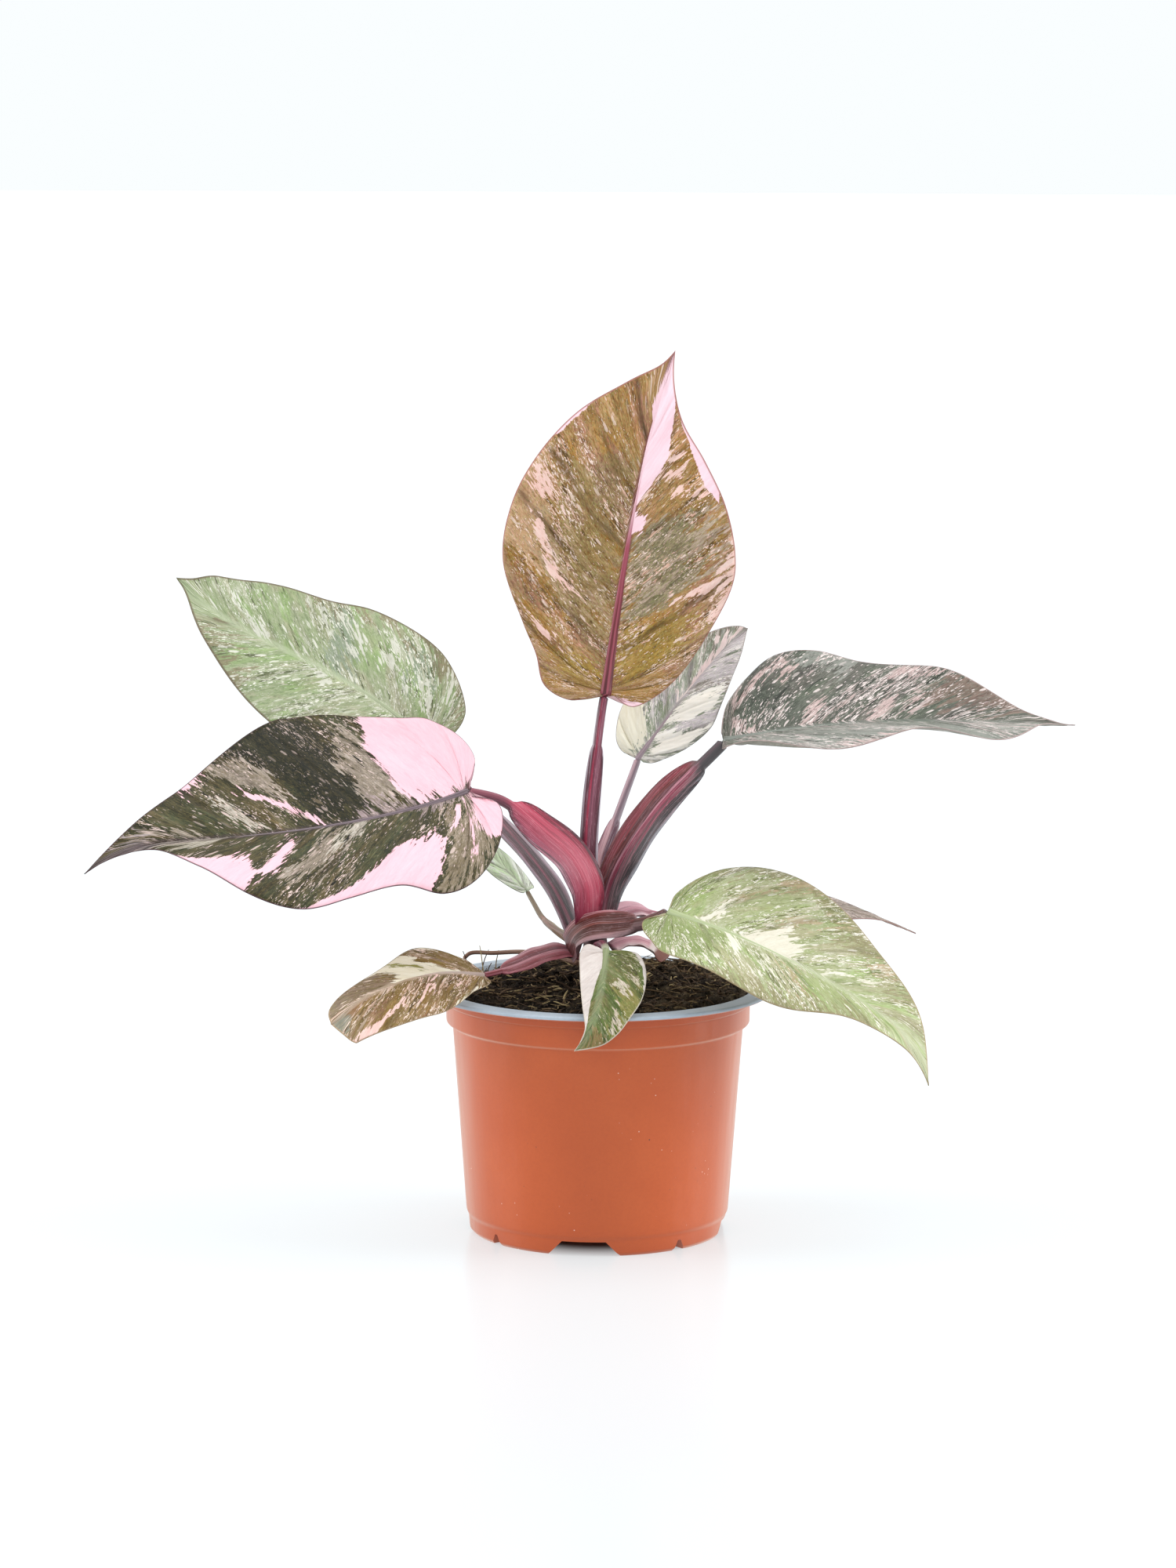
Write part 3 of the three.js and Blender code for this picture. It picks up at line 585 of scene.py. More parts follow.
def soil_finish():
    finish = Finish("potting_soil", roughness=0.95, specular=0.15)
    place = finish.place()
    clods = finish.noise(place, 260, 4, 0.7)
    damp = finish.noise(place, 45, 2, 0.6)
    grain = finish.noise(place, 1500, 2, 0.7)
    stops = (0.30, 0.45, 0.58, 0.72)
    # Painted light: the soil is painted lighter towards the right, where more light falls, and darker to
    # the left.
    shaded_left_tones = finish.ramp(clods, list(zip(stops, ("0E0A08", "241C16", "3E3428", "6A5C44"))))
    lit_right_tones = finish.ramp(clods, list(zip(stops, ("17110E", "40352A", "6E5F4B", "A08E72"))))
    to_the_right = finish.split(place)[0]
    colour = finish.mix(finish.rise(to_the_right, -0.010, 0.030), shaded_left_tones, lit_right_tones)
    colour = finish.lay(colour, "120D0A", damp, 0.38, 0.62, 0.70, 0.0)
    colour = finish.lay(colour, "7A694F", grain, 0.62, 0.72, 0.0, 0.5)
    finish.bump(finish.calc("ADD", clods, grain), 0.9, 1.0)
    return finish.colour(colour)


def fibre_finish():
    finish = Finish("peat_fibre", roughness=0.85, specular=0.2)
    place = finish.place()
    tones = [(0.0, "2A1E17"), (0.35, "4C3A2B"), (0.65, "705A42"), (0.88, "94805C"), (1.0, "B09C72")]
    colour = finish.ramp(finish.kept("own", "Fac"), tones)
    stripes = finish.noise(place, 900, 2, 0.7)
    colour = finish.lay(colour, "2B2119", stripes, 0.4, 0.7, 0.0, 0.45)
    finish.bump(stripes, 0.08, 0.6)
    return finish.colour(colour)


def scattered(name, template, spots, own):
    """One mesh with a copy of the template at each spot, and each copy's own share stored with it."""
    base = points_of(template)
    faces = [tuple(polygon.vertices) for polygon in template.data.polygons]
    count = len(base)
    padded = np.concatenate([base, np.ones((count, 1))], 1)
    points = np.concatenate([padded @ np.array(spot).T[:, :3] for spot in spots])
    all_faces = [tuple(i + n * count for i in face) for n in range(len(spots)) for face in faces]
    mesh = bpy.data.meshes.new(name)
    mesh.from_pydata(points.tolist(), [], all_faces)
    mesh.update()
    piece = bpy.data.objects.new(name, mesh)
    bpy.context.collection.objects.link(piece)
    store(piece, "own", np.repeat(own, count))
    bpy.data.objects.remove(template)
    return piece


def spot(place, spin, size):
    """Where a copy goes and how it is turned and scaled, as a 4 by 4 matrix in metres."""
    return Matrix.Translation(tuple(v * MM for v in place)) @ spin @ Matrix.Diagonal((*size, 1))


def strewn(draw, reach):
    """A random place on a disc, as its distance from the middle and its direction."""
    return reach * math.sqrt(draw.random()), draw.random() * 2 * math.pi


def crumb():
    """One clod of soil, a few dozen faces."""
    deselect()
    bpy.ops.mesh.primitive_ico_sphere_add(subdivisions=2, radius=MM)
    piece = settle("crumb")
    points = points_of(piece)
    for i, point in enumerate(points):
        points[i] = point * (0.75 + 0.5 * noise.noise(Vector(point / MM * 1.3)) + 0.2)
    place_points(piece, points)
    return piece


def fibre():
    """One bent fibre lying along X, a millimetre long and thick before it is scaled."""
    deselect()
    bpy.ops.mesh.primitive_cylinder_add(vertices=5, radius=0.5 * MM, depth=MM, rotation=(0, math.pi / 2, 0))
    piece = settle("fibre")
    edit(piece, "DESELECT")
    bpy.ops.mesh.select_mode(type="EDGE")
    leave_edit()
    for edge in piece.data.edges:
        a, b = (piece.data.vertices[i].co for i in edge.vertices)
        edge.select = abs(a.x - b.x) > 0.5 * MM
    pick(piece)
    bpy.ops.object.mode_set(mode="EDIT")
    bpy.ops.mesh.subdivide(number_cuts=5)
    leave_edit()
    points = points_of(piece)
    x = points[:, 0] / MM
    points[:, 1:] *= (1 - 1.4 * np.abs(x[:, None]) ** 2)
    points[:, 2] += 0.55 * MM * np.sin(5 * x)
    points[:, 1] += 1.30 * MM * np.cos(4 * x + 0.4)
    place_points(piece, points)
    return piece


def soil_body(edge):
    """The soil that fills the pot, with a rough top and the foot's channels and grooves cut out."""
    inset = SOIL["gap"]
    ring_count = int((edge - 1.2) / SOIL["ring_step"])
    rings = [(edge - SOIL["ring_step"] * i, SOIL["level"]) for i in range(ring_count)]
    shoulder = (edge + 0.1, POT["height"] - 3)
    body = turned("soil", pot_skin(inset) + [shoulder] + rings, SOIL["segments"])
    for quarter in QUARTERS:
        for shape in (CHANNEL, GROOVE):
            cut(body, foot_cut(shape, shape["turn"] + quarter, inset))
    points = points_of(body) / MM
    on_top = points[:, 2] > SOIL["level"] - 0.01
    x, y = points[on_top, 0], points[on_top, 1]
    rough = np.array([
        sum(high * noise.noise(Vector((a * fine, b * fine, layer))) for high, fine, layer in ROUGHNESS)
        for a, b in zip(x, y)])
    from_rim = POT["mouth_radius"] - np.hypot(x, y)
    points[on_top, 2] = soil_height(x, y) + rough * smoothstep(from_rim, 1.5, 5)
    place_points(body, points * MM)
    smooth(body, 50)
    return body


def soil_crumbs(draw, edge):
    """Clods strewn over the soil, most of them small."""
    spots = []
    for _ in range(CRUMB["count"]):
        r, turn = strewn(draw, edge)
        r -= 0.4
        a, b = r * math.cos(turn), r * math.sin(turn)
        size = CRUMB["smallest"] + CRUMB["more"] * draw.random() ** 3
        height = float(soil_height(a, b)) + 0.25
        spin = spin_by(draw.random() * ANY_TURN, "Z") @ spin_by(draw.random() * ANY_TURN, "X")
        spots.append(spot((a, b, height), spin, (size, size * (0.6 + 0.4 * draw.random()), size * 0.7)))
    crumbs = scattered("crumbs", crumb(), spots, draw.random(len(spots)))
    smooth(crumbs, 40)
    return crumbs


def lying_fibres(draw, edge):
    """Spots for fibres that lie on the soil, within its edge."""
    spots = []
    for _ in range(FIBRE["count"]):
        r, turn = strewn(draw, edge - 2)
        a, b = r * math.cos(turn), r * math.sin(turn)
        length = FIBRE["shortest"] + FIBRE["more"] * draw.random() ** 1.6
        radius = FIBRE["radius"] + FIBRE["radius_more"] * draw.random() ** 2.5
        height = float(soil_height(a, b)) + 0.45 + 0.6 * draw.random()
        heading = draw.random() * 2 * math.pi
        tilt = math.radians(draw.normal(0, FIBRE["tilt"]))
        if r + length / 2 <= edge - 0.5:
            spin = spin_by(heading, "Z") @ spin_by(tilt, "Y")
            spots.append(spot((a, b, height), spin, (length, radius * 2, radius * 2)))
    return spots


def stray_roots(draw):
    """Spots for roots that stick up out of the soil at its left edge."""
    spots = []
    for _ in range(ROOT["count"]):
        r = ROOT["from_axis"] + ROOT["further"] * draw.random()
        turn = math.radians(ROOT["turn"] + ROOT["turn_more"] * draw.random())
        spin = spin_by(draw.random() * ANY_TURN, "Z") @ spin_by(-0.6 - 0.8 * draw.random(), "Y")
        length = 5 + 8 * draw.random()
        place = (r * math.cos(turn), r * math.sin(turn), SOIL["level"] + 0.35 * length)
        spots.append(spot(place, spin, (length, 2 * ROOT["radius"], 2 * ROOT["radius"])))
    return spots


def make_soil():
    edge = POT["mouth_radius"] - SOIL["rim_gap"]
    draw = np.random.default_rng(SOIL["seed"])
    body = soil_body(edge)
    crumbs = soil_crumbs(draw, edge)
    spots = lying_fibres(draw, edge) + stray_roots(draw)
    fibres = scattered("fibres", fibre(), spots, draw.random(len(spots)))
    smooth(fibres)
    materials = (soil_finish(), fibre_finish())
    for piece, index in ((body, 0), (crumbs, 0), (fibres, 1)):
        for material in materials:
            piece.data.materials.append(material)
        for face in piece.data.polygons:
            face.material_index = index
    hand_over(join([body, crumbs, fibres]), "soil")


# ---- stem -----------------------------------------------------------------------------------------


def stem_finish():
    finish = Finish("stem_skin", roughness=0.5)
    place = finish.place()
    bands = finish.noise(finish.stretch(place, (60, 60, 900)), 1, 2, 0.6)
    colour = finish.ramp(bands, [(0.3, "2A1218"), (0.55, "4A2028"), (0.75, "6B3A3C")])
    finish.bump(bands, 0.2, 0.6)
    return finish.colour(colour)


def make_stem():
    """A short rooted stock with the scars of earlier leaves round it."""
    r = STEM["radius"]
    foot, top = STEM["foot"], STEM["top"]
    profile = [
        (r * 0.3, foot), (r * 0.45, foot + 1), (r * 0.8, foot + 16), (r, SOIL["level"] - 6),
        (r, SOIL["level"] + 8), (r * 0.86, top - 9), (r * 0.5, top - 2), (r * 0.12, top),
    ]
    piece = turned("stem", rounded(profile, 3), 48)
    points = points_of(piece) / MM
    from_scar = np.abs((points[:, 2] - foot) / STEM["scar_step"] % 1 - 0.5)
    points[:, :2] *= (1 - STEM["scar"] * smoothstep(from_scar, 0.12, 0.02))[:, None]
    points += (STEM["x"], STEM["y"], 0)
    place_points(piece, points * MM)
    smooth(piece)
    hand_over(piece, "stem", [stem_finish()])


# ---- stalks and sheaths ---------------------------------------------------------------------------


def catmull_rom(route, steps):
    """The centripetal Catmull-Rom curve through the route: even points, their directions and its length."""
    p = np.array(route, float)
    before = p[0] + (p[0] - p[1])
    after = p[-1] + (p[-1] - p[-2])
    p = np.vstack([before, p, after])
    fine = []
    for a, b, c, d in zip(p, p[1:], p[2:], p[3:]):
        ab, bc, cd = (max(np.linalg.norm(v) ** 0.5, 1e-4) for v in (b - a, c - b, d - c))
        start = ((b - a) / ab - (c - a) / (ab + bc) + (c - b) / bc) * bc
        end = ((c - b) / bc - (d - b) / (bc + cd) + (d - c) / cd) * bc
        for t in np.linspace(0, 1, 40, endpoint=False):
            fine.append(
                (2 * t ** 3 - 3 * t ** 2 + 1) * b + (t ** 3 - 2 * t ** 2 + t) * start
                + (3 * t ** 2 - 2 * t ** 3) * c + (t ** 3 - t ** 2) * end)
    fine.append(p[-2])
    fine = np.array(fine)
    run = np.concatenate([[0], np.cumsum(np.linalg.norm(np.diff(fine, axis=0), axis=1))])
    even = np.linspace(0, run[-1], steps + 1)
    points = np.stack([np.interp(even, run, fine[:, i]) for i in range(3)], 1)
    return points, unit(np.gradient(points, axis=0)), run[-1]


def long_ball(name, around, along):
    """A ball to be drawn out along a line, with each point's angle round it and share along it."""
    deselect()
    bpy.ops.mesh.primitive_uv_sphere_add(segments=around, ring_count=along, radius=1)
    piece = settle(name)
    ball = points_of(piece)
    angle = np.arctan2(ball[:, 1], ball[:, 0])
    return piece, angle, np.arccos(np.clip(-ball[:, 2], -1, 1)) / math.pi


def keep_skin(piece, skin, part):
    """Stores each point's place on the skin, in mm, and on the part, in shares."""
    store(piece, "skin", np.stack(skin, 1))
    store(piece, "part", np.stack(part, 1))


def stalk_mesh(name, shape):
    """A stalk with a winged sheath at its foot, made from a sphere drawn out along its route."""
    piece, angle, u = long_ball(name, STALK["steps_around"], STALK["steps_along"])
    points, heading, length = catmull_rom(shape["route"] + shape.get("onwards", []), STALK["route_steps"])
    at = np.linspace(0, 1, len(points))
    centre = np.stack([np.interp(u, at, points[:, i]) for i in range(3)], 1)
    direction = unit(np.stack([np.interp(u, at, heading[:, i]) for i in range(3)], 1))
    out = np.array(shape["face"], float)
    out = unit(out - direction * (direction @ out)[:, None])
    side = np.cross(direction, out)
    radius = lerp(shape["stalk"][0], shape["stalk"][1], u)
    open_share = np.sqrt(np.maximum(0, 1 - (u / shape["sheath"]["end"]) ** 6))
    foot = lerp(shape["sheath"].get("foot", 1), 1, smoothstep(u, 0, STALK["foot_reach"]))
    half = radius + (shape["sheath"]["half"] * foot - radius) * open_share
    rise = shape["sheath"]["rise"] * open_share
    v = np.cos(angle)
    wall = STALK["sheath_edge"] + STALK["sheath_keel"] * radius * (1 - v * v)
    thick = lerp(radius, wall, open_share)
    end_round = STALK["end_round"] / length
    close = np.sqrt(np.clip(1 - (1 - np.minimum(np.minimum(u, 1 - u) / end_round, 1)) ** 2, 0, 1))
    flutter = STALK["flutter"] * open_share * np.sin(u * 23 + 3 * v) * v * v
    place = (
        centre + side * (half * v * close)[:, None]
        + out * ((rise * (v * v - 0.3) * close + thick * np.sin(angle) * close + flutter))[:, None])
    place_points(piece, place * MM)
    out_share = np.sin(angle)
    keep_skin(piece, (v * half, out_share * np.maximum(thick, 1), u * length), (v, out_share, u))
    point_outwards(piece)
    smooth(piece)
    return piece


def stalk_finish(name, look):
    """Satin skin striped along the stalk: a run of tones across its open face and one across its back."""
    finish = Finish(name, roughness=look.get("roughness", 0.38), specular=0.4)
    skin = finish.kept("skin")
    v, face, u = finish.split(finish.kept("part"))[:3]
    broad = finish.noise(finish.stretch(skin, (0.5, 0.5, 0.02)), 1, 2, 0.5)
    fine = finish.noise(finish.stretch(skin, (2.4, 2.4, 0.035)), 1, 3, 0.65)
    thread = finish.noise(finish.stretch(skin, (4.2, 4.2, 0.06), (3, 7, 0)), 1, 2, 0.6)
    fleck = finish.noise(finish.stretch(skin, (2.4, 2.4, 0.4)), 1, 2, 0.6)
    grain = finish.noise(finish.stretch(skin, (5, 5, 3)), 1, 2, 0.6)
    wander = finish.calc("MULTIPLY_ADD", finish.centred(broad), 0.5,
                         finish.calc("MULTIPLY", finish.centred(fine), 0.40))
    across = finish.calc("MULTIPLY_ADD", v, 0.5, finish.calc("ADD", wander, 0.5))
    back = finish.ramp(across, spread(look["back"]))
    inner = finish.ramp(across, spread(look["front"]))
    colour = finish.mix(finish.rise(face, -0.12, 0.12), back, inner)
    colour = finish.lay(colour, look["stripe"], fine, 0.53, 0.60, 0.0, 0.55)
    colour = finish.lay(colour, look["fleck"], thread, 0.57, 0.63, 0.0, 0.42)
    colour = finish.lay(colour, look["fleck"], fleck, 0.60, 0.70, 0.0, 0.30)
    colour = finish.lay(colour, look["stripe"], grain, 0.45, 0.75, 0.0, 0.15)
    for code, start, end, share in look.get("along", ()):
        colour = finish.lay(colour, code, u, start, end, 0.0, share)
    finish.bump(finish.calc("ADD", fine, finish.calc("MULTIPLY", broad, 1.5)), 0.12, 0.7)
    return finish.colour(colour)


# ---- blades ---------------------------------------------------------------------------------------


def through_four(points, t):
    """The smooth curve through four points that are a third of its length apart."""
    a, b, c, d = (np.array(p, float) for p in points)
    t = np.asarray(t, float)[..., None]
    third, two = 1 / 3, 2 / 3
    return (
        -4.5 * (t - third) * (t - two) * (t - 1) * a + 13.5 * t * (t - two) * (t - 1) * b
        - 13.5 * t * (t - third) * (t - 1) * c + 4.5 * t * (t - third) * (t - two) * d)


class Midrib:
    """The midrib's line and the directions along, out of the face and to the side of the blade."""

    def __init__(self, leaf):
        self.points = leaf["midrib"]
        self.hook = np.array(leaf.get("hook", (0, 0, 0)), float)
        self.faces = np.array(leaf["face"], float)
        line = self.at(np.linspace(0, 1, 33))
        self.length = float(np.linalg.norm(np.diff(line, axis=0), axis=1).sum())

    def at(self, t):
        t = np.asarray(t, float)
        start = BLADE["hook_start"]
        bend = np.maximum(0, (t - start) / (1 - start)) ** 3
        return through_four(self.points, t) + bend[..., None] * self.hook

    def frame(self, t):
        along = unit(self.at(t + 1e-3) - self.at(t - 1e-3))
        face = lerp(self.faces[0], self.faces[1], np.asarray(t)[..., None])
        face = unit(face - along * (face * along).sum(-1, keepdims=True))
        return along, face, np.cross(along, face)


def margin_points(outline, steps):
    """Points evenly spaced along the outline's Catmull-Rom curve, and its length."""
    p = np.array(list(outline) + [(1, 0)], float)
    fine = []
    for i in range(len(p) - 1):
        a, b, c, d = p[max(i - 1, 0)], p[i], p[i + 1], p[min(i + 2, len(p) - 1)]
        v0, v1 = (c - a) / 2, (d - b) / 2
        t = np.linspace(0, 1, 60, endpoint=False)[:, None]
        cube = 2 * b - 2 * c + v0 + v1
        square = 3 * c - 3 * b - 2 * v0 - v1
        fine.append(cube * t ** 3 + square * t ** 2 + v0 * t + b)
    fine = np.vstack(fine + [p[-1:]])
    run = np.concatenate([[0], np.cumsum(np.linalg.norm(np.diff(fine, axis=0), axis=1))])
    even = np.linspace(0, run[-1], steps + 1)
    return np.stack([np.interp(even, run, fine[:, i]) for i in range(2)], 1), run[-1]


def zone_depth(zone, hand, t, q, margin, reach):
    """How far each point lies inside the nearest patch, in millimetres, and below nought outside."""
    depth = np.full(len(t), -ZONE_REACH)
    squeeze = np.where(t < BLADE["lobe"], lerp(0.08, 1.0, q), 1.0)
    draw = zone.get("draw", ZONE_END_DRAW)
    patches = [(side, patch) for name, side in HALVES for patch in zone.get(name, ())]
    for side, patch in patches:
        stations = np.array(patch, float)
        first, last = stations[0, 0], stations[-1, 0]
        low = np.interp(q, stations[:, 0], stations[:, 1])
        high = np.interp(q, stations[:, 0], stations[:, 2])
        inside = np.minimum(t - low, high - t) * margin * squeeze
        if first > 0.01:
            inside = np.minimum(inside, (q - first) * reach / draw)
        if last < 0.99:
            inside = np.minimum(inside, (last - q) * reach / draw)
        depth = np.where((hand == side) | (q < 1e-6), np.maximum(depth, inside), depth)
    return np.clip(depth, -ZONE_REACH, ZONE_REACH)


def vein_starts(t):
    """The share of the midrib where the vein starts that ends at share t of the margin."""
    lobe, foot = BLADE["lobe"], BLADE["vein_foot"]
    beyond = np.maximum(0, (t - lobe) / (1 - lobe)) ** BLADE["spread"]
    return np.where(t < lobe, foot * t / lobe, lerp(foot, 1, beyond))


def half_blade(leaf, half, hand, midrib, t, q):
    """One half's points, how far its veins reach, its margin's length, and t as its veins are drawn.

    A point is at share t along the margin and at share q of the way out along the vein that ends there.
    """
    rows = leaf.get("rows", BLADE["rows"])
    length = midrib.length
    ends, margin = margin_points(half["outline"], BLADE["margin_steps"])
    widest = max(w for _, w in half["outline"])
    start = vein_starts(t)
    where = np.linspace(0, 1, BLADE["margin_steps"] + 1)
    end_x = np.interp(t, where, ends[:, 0])
    end_w = np.interp(t, where, ends[:, 1])
    a = start + (end_x - start) * q - BLADE["sweep"] * end_w * q * (1 - q) * np.minimum(1, 3 * t)
    w = end_w * q
    s = np.maximum(0, a)
    along, face, side = midrib.frame(s)

    fold = lerp(half["fold"][0], half["fold"][1], s)
    lean = np.radians(fold + half["curl"] * w / widest / 2)
    height, count, phase = half["wave"]
    ripple = height * np.sin(2 * math.pi * (count * t + phase)) * q * q * smoothstep(1 - t, 0, 0.14)
    swell = np.sin(math.pi * q)
    pillow = BLADE["quilt"] * np.cos(math.pi * t * rows) * swell
    drawn_t = t - leaf.get("slant", BLADE["slant"]) * smoothstep(t, 0.2, 0.5) * (1 - (1 - q) ** 2)
    vein_gap = 2 * margin * length / rows
    from_vein = np.abs((drawn_t * rows / 2) % 1 - 0.5) * vein_gap * lerp(0.6, 1, q)
    groove = -BLADE["groove"] * np.exp(-((from_vein / BLADE["groove_half"]) ** 2)) * swell
    crinkle = BLADE["crinkle"] * np.sin(t * 151 + 2 * hand) * np.sin(q * 9 + t * 31) * swell
    place = (
        midrib.at(s)
        + along * (np.minimum(0, a) * length)[:, None]
        + side * (hand * w * np.cos(lean) * length)[:, None]
        + face * (w * np.sin(lean) * length + ripple + pillow + groove + crinkle)[:, None])
    return place, np.hypot(end_x - start, end_w) * length, margin * length, drawn_t


def blade_sheet(leaf, zones):
    """The blade as one sheet whose rows follow its veins, with what its finish reads at each point."""
    midrib = Midrib(leaf)
    deselect()
    bpy.ops.mesh.primitive_grid_add(
        x_subdivisions=2 * BLADE["steps_out"], y_subdivisions=BLADE["steps_along"], size=2)
    piece = settle("blade_" + leaf["name"])
    flat = points_of(piece)
    t = (flat[:, 1] + 1) / 2
    q = np.abs(flat[:, 0])
    hand = np.where(flat[:, 0] < 0, -1, 1)
    place = np.zeros_like(flat)
    reach, margin, drawn = np.zeros((3, len(flat)))
    for name, side in HALVES:
        chosen = hand == side
        place[chosen], reach[chosen], margin[chosen], drawn[chosen] = half_blade(
            leaf, leaf[name], side, midrib, t[chosen], q[chosen])
    place_points(piece, place * MM)

    half_rows = leaf.get("rows", BLADE["rows"]) / 2
    store(piece, "vein", np.stack([drawn * margin, hand * q * reach, t], 1))
    store(piece, "edge", np.stack([(1 - q) * reach, q * reach, drawn * half_rows], 1))
    for n, zone in enumerate(zones):
        store(piece, f"zone_{n}", zone_depth(zone, hand, t, q, margin, reach))
    group = piece.vertex_groups.new(name="fullness")
    from_margin = (1 - q) * reach
    full = lerp(0.4, 1, smoothstep(from_margin, 0, 5)) * lerp(0.5, 1, smoothstep(1 - t, 0, 0.12))
    for i, weight in enumerate(full):
        group.add([i], float(weight), "REPLACE")
    merge(piece)
    return piece, midrib


def midrib_tube(name, midrib, look, stalk_radius):
    """The round rib under the blade, which also stands a little proud of its upper side."""
    piece, angle, u = long_ball(name, RIB["steps_around"], RIB["steps_along"])
    length = midrib.length
    s = lerp(-RIB["before"] / length, RIB["end"], u)
    _, face, side = midrib.frame(s)
    taper = np.maximum(0, 1 - s) ** look.get("rib_taper", 0.75)
    radius = look.get("rib_radius", 1.0) * taper + RIB["thinnest"]
    radius += np.maximum(0, stalk_radius - radius) * np.exp(-s * length / RIB["flare"])
    close = np.sqrt(np.clip(np.minimum(u * 3, 1 - u) / 0.01, 0, 1))
    across, up = np.cos(angle), np.sin(angle)
    near_stalk = np.exp(-np.maximum(s, 0) * length / 6)
    depth = np.where(up > 0, lerp(0.62, 0.9, near_stalk), lerp(1.25, 1.0, near_stalk)) * radius
    place = midrib.at(s) + side * (radius * across * close)[:, None] + face * (depth * up * close)[:, None]
    place_points(piece, place * MM)
    keep_skin(piece, (across * radius, up * radius, u * length), (across, up, u))
    point_outwards(piece)
    smooth(piece)
    return piece


def rib_finish(name, look):
    finish = Finish(name, roughness=0.42)
    skin = finish.kept("skin")
    across, _, u = finish.split(finish.kept("part"))[:3]
    fine = finish.noise(finish.stretch(skin, (2.5, 2.5, 0.06)), 1, 2, 0.6)
    colour = finish.ramp(u, spread(look["rib"]))
    fading = finish.rise(u, 0.35, 0.60, 1.0, 0.15)
    lines = finish.rise(finish.calc("SINE", finish.calc("MULTIPLY", across, 8.0)), -0.4, 0.9, 0.0, 0.55)
    colour = finish.lay_where(colour, look["rib_stripe"], lines, fading)
    colour = finish.lay(colour, look["rib_stripe"], fine, 0.45, 0.65, 0.0, 0.35)
    finish.bump(fine, 0.08, 0.6)
    return finish.colour(colour)


def marbling(streak, fleck, dark, amount=0.0):
    """Dark streaks, pale streaks and flecks, from broad to fine.

    Each has its tone, how fine it is across and along the veins, the noise that it shows above where
    marks crowd and where they are few, its shift and its softness. The amount makes more of them show.
    """
    return [
        (dark, 0.75, 0.15, 0.56 - amount, 0.66 - amount, 12.7, 0.07),
        (streak, 0.60, 0.13, 0.60 - amount, 0.71 - amount, 2.2, 0.05),
        (streak, 1.20, 0.32, 0.585 - amount, 0.69 - amount, 19.2, 0.04),
        (fleck, 1.30, 0.45, 0.60 - amount, 0.70 - amount, 8.4, 0.02),
        (fleck, 2.20, 0.90, 0.60 - amount, 0.69 - amount, 4.4, 0.02),
    ]


class LeafFields:
    """The noises that a blade's finish is drawn with, stretched along its veins."""

    def __init__(self, finish, look):
        self.finish = finish
        self.vein = finish.kept("vein")
        self.shift = look["shift"]
        self.draw = look.get("draw", 1)
        self.coarse = self.field(0.16, 0.040, 3, 0.6)
        self.middle = self.field(0.50, 0.12, 3, 0.65, 3.1, 0.6)
        self.small = self.field(1.4, 0.42, 3, 0.65, 7.7, 0.6)
        self.grain = self.field(2.0, 1.1, 2, 0.7, 1.9)

    def placed(self, across, along, more):
        shift = (self.shift[0] + more, self.shift[1] + more, self.shift[2])
        return self.finish.stretch(self.vein, (across, along, 1), shift)

    def field(self, across, along, detail=2.0, rough=0.55, more=0.0, distortion=0.0):
        """Noise with so many waves to a millimetre across the veins and along them."""
        place = self.placed(across, along * self.draw, more)
        return self.finish.noise(place, 1, detail, rough, distortion)

    def cells(self, across, along, more):
        return self.finish.cells(self.placed(across, along, more))


def ground_and_zones(finish, fields, look):
    """The leaf's ground, clouds of its tints, and its sectors with torn edges.

    Returns the colour and how far each point is free for flecks, which plain sectors aren't.
    """
    torn = finish.calc("MULTIPLY_ADD", finish.centred(fields.middle), 20.0,
                       finish.calc("MULTIPLY", finish.centred(fields.small), 9.0))
    mixed = finish.calc("MULTIPLY_ADD", fields.middle, 0.38, finish.calc("MULTIPLY", fields.coarse, 0.27))
    mixed = finish.calc("MULTIPLY_ADD", fields.small, 0.35, mixed)
    widen = {"Value": mixed, "From Min": 0.355, "From Max": 0.645}
    level = finish.node("ShaderNodeMapRange", widen).outputs[0]
    colour = finish.ramp(level, spread(look["ground"]))
    for n, code in enumerate(look["tints"]):
        cloud = finish.rise(fields.field(0.13, 0.05, 3, 0.6, 23.3 + 9 * n, 0.5), 0.47, 0.62, 0.0, 0.65)
        colour = finish.mix(cloud, colour, code, "COLOR")
    plain = None
    for n, zone in enumerate(look["zones"]):
        depth = finish.kept(f"zone_{n}", "Fac")
        ragged = finish.calc("MULTIPLY_ADD", torn, zone["torn"], depth)
        mask = finish.rise(ragged, -ZONE_SOFTNESS, ZONE_SOFTNESS)
        if "share" in zone:
            mask = finish.calc("MULTIPLY", mask, zone["share"])
        inside = finish.ramp(level, spread(zone["colour"]))
        colour = finish.mix(mask, colour, inside)
        if "plain" in zone:
            mask = finish.calc("MULTIPLY", mask, zone["plain"])
            plain = mask if plain is None else finish.calc("MAXIMUM", plain, mask)
    free = 1.0 if plain is None else finish.calc("SUBTRACT", 1.0, plain, clamp=True)
    return colour, free


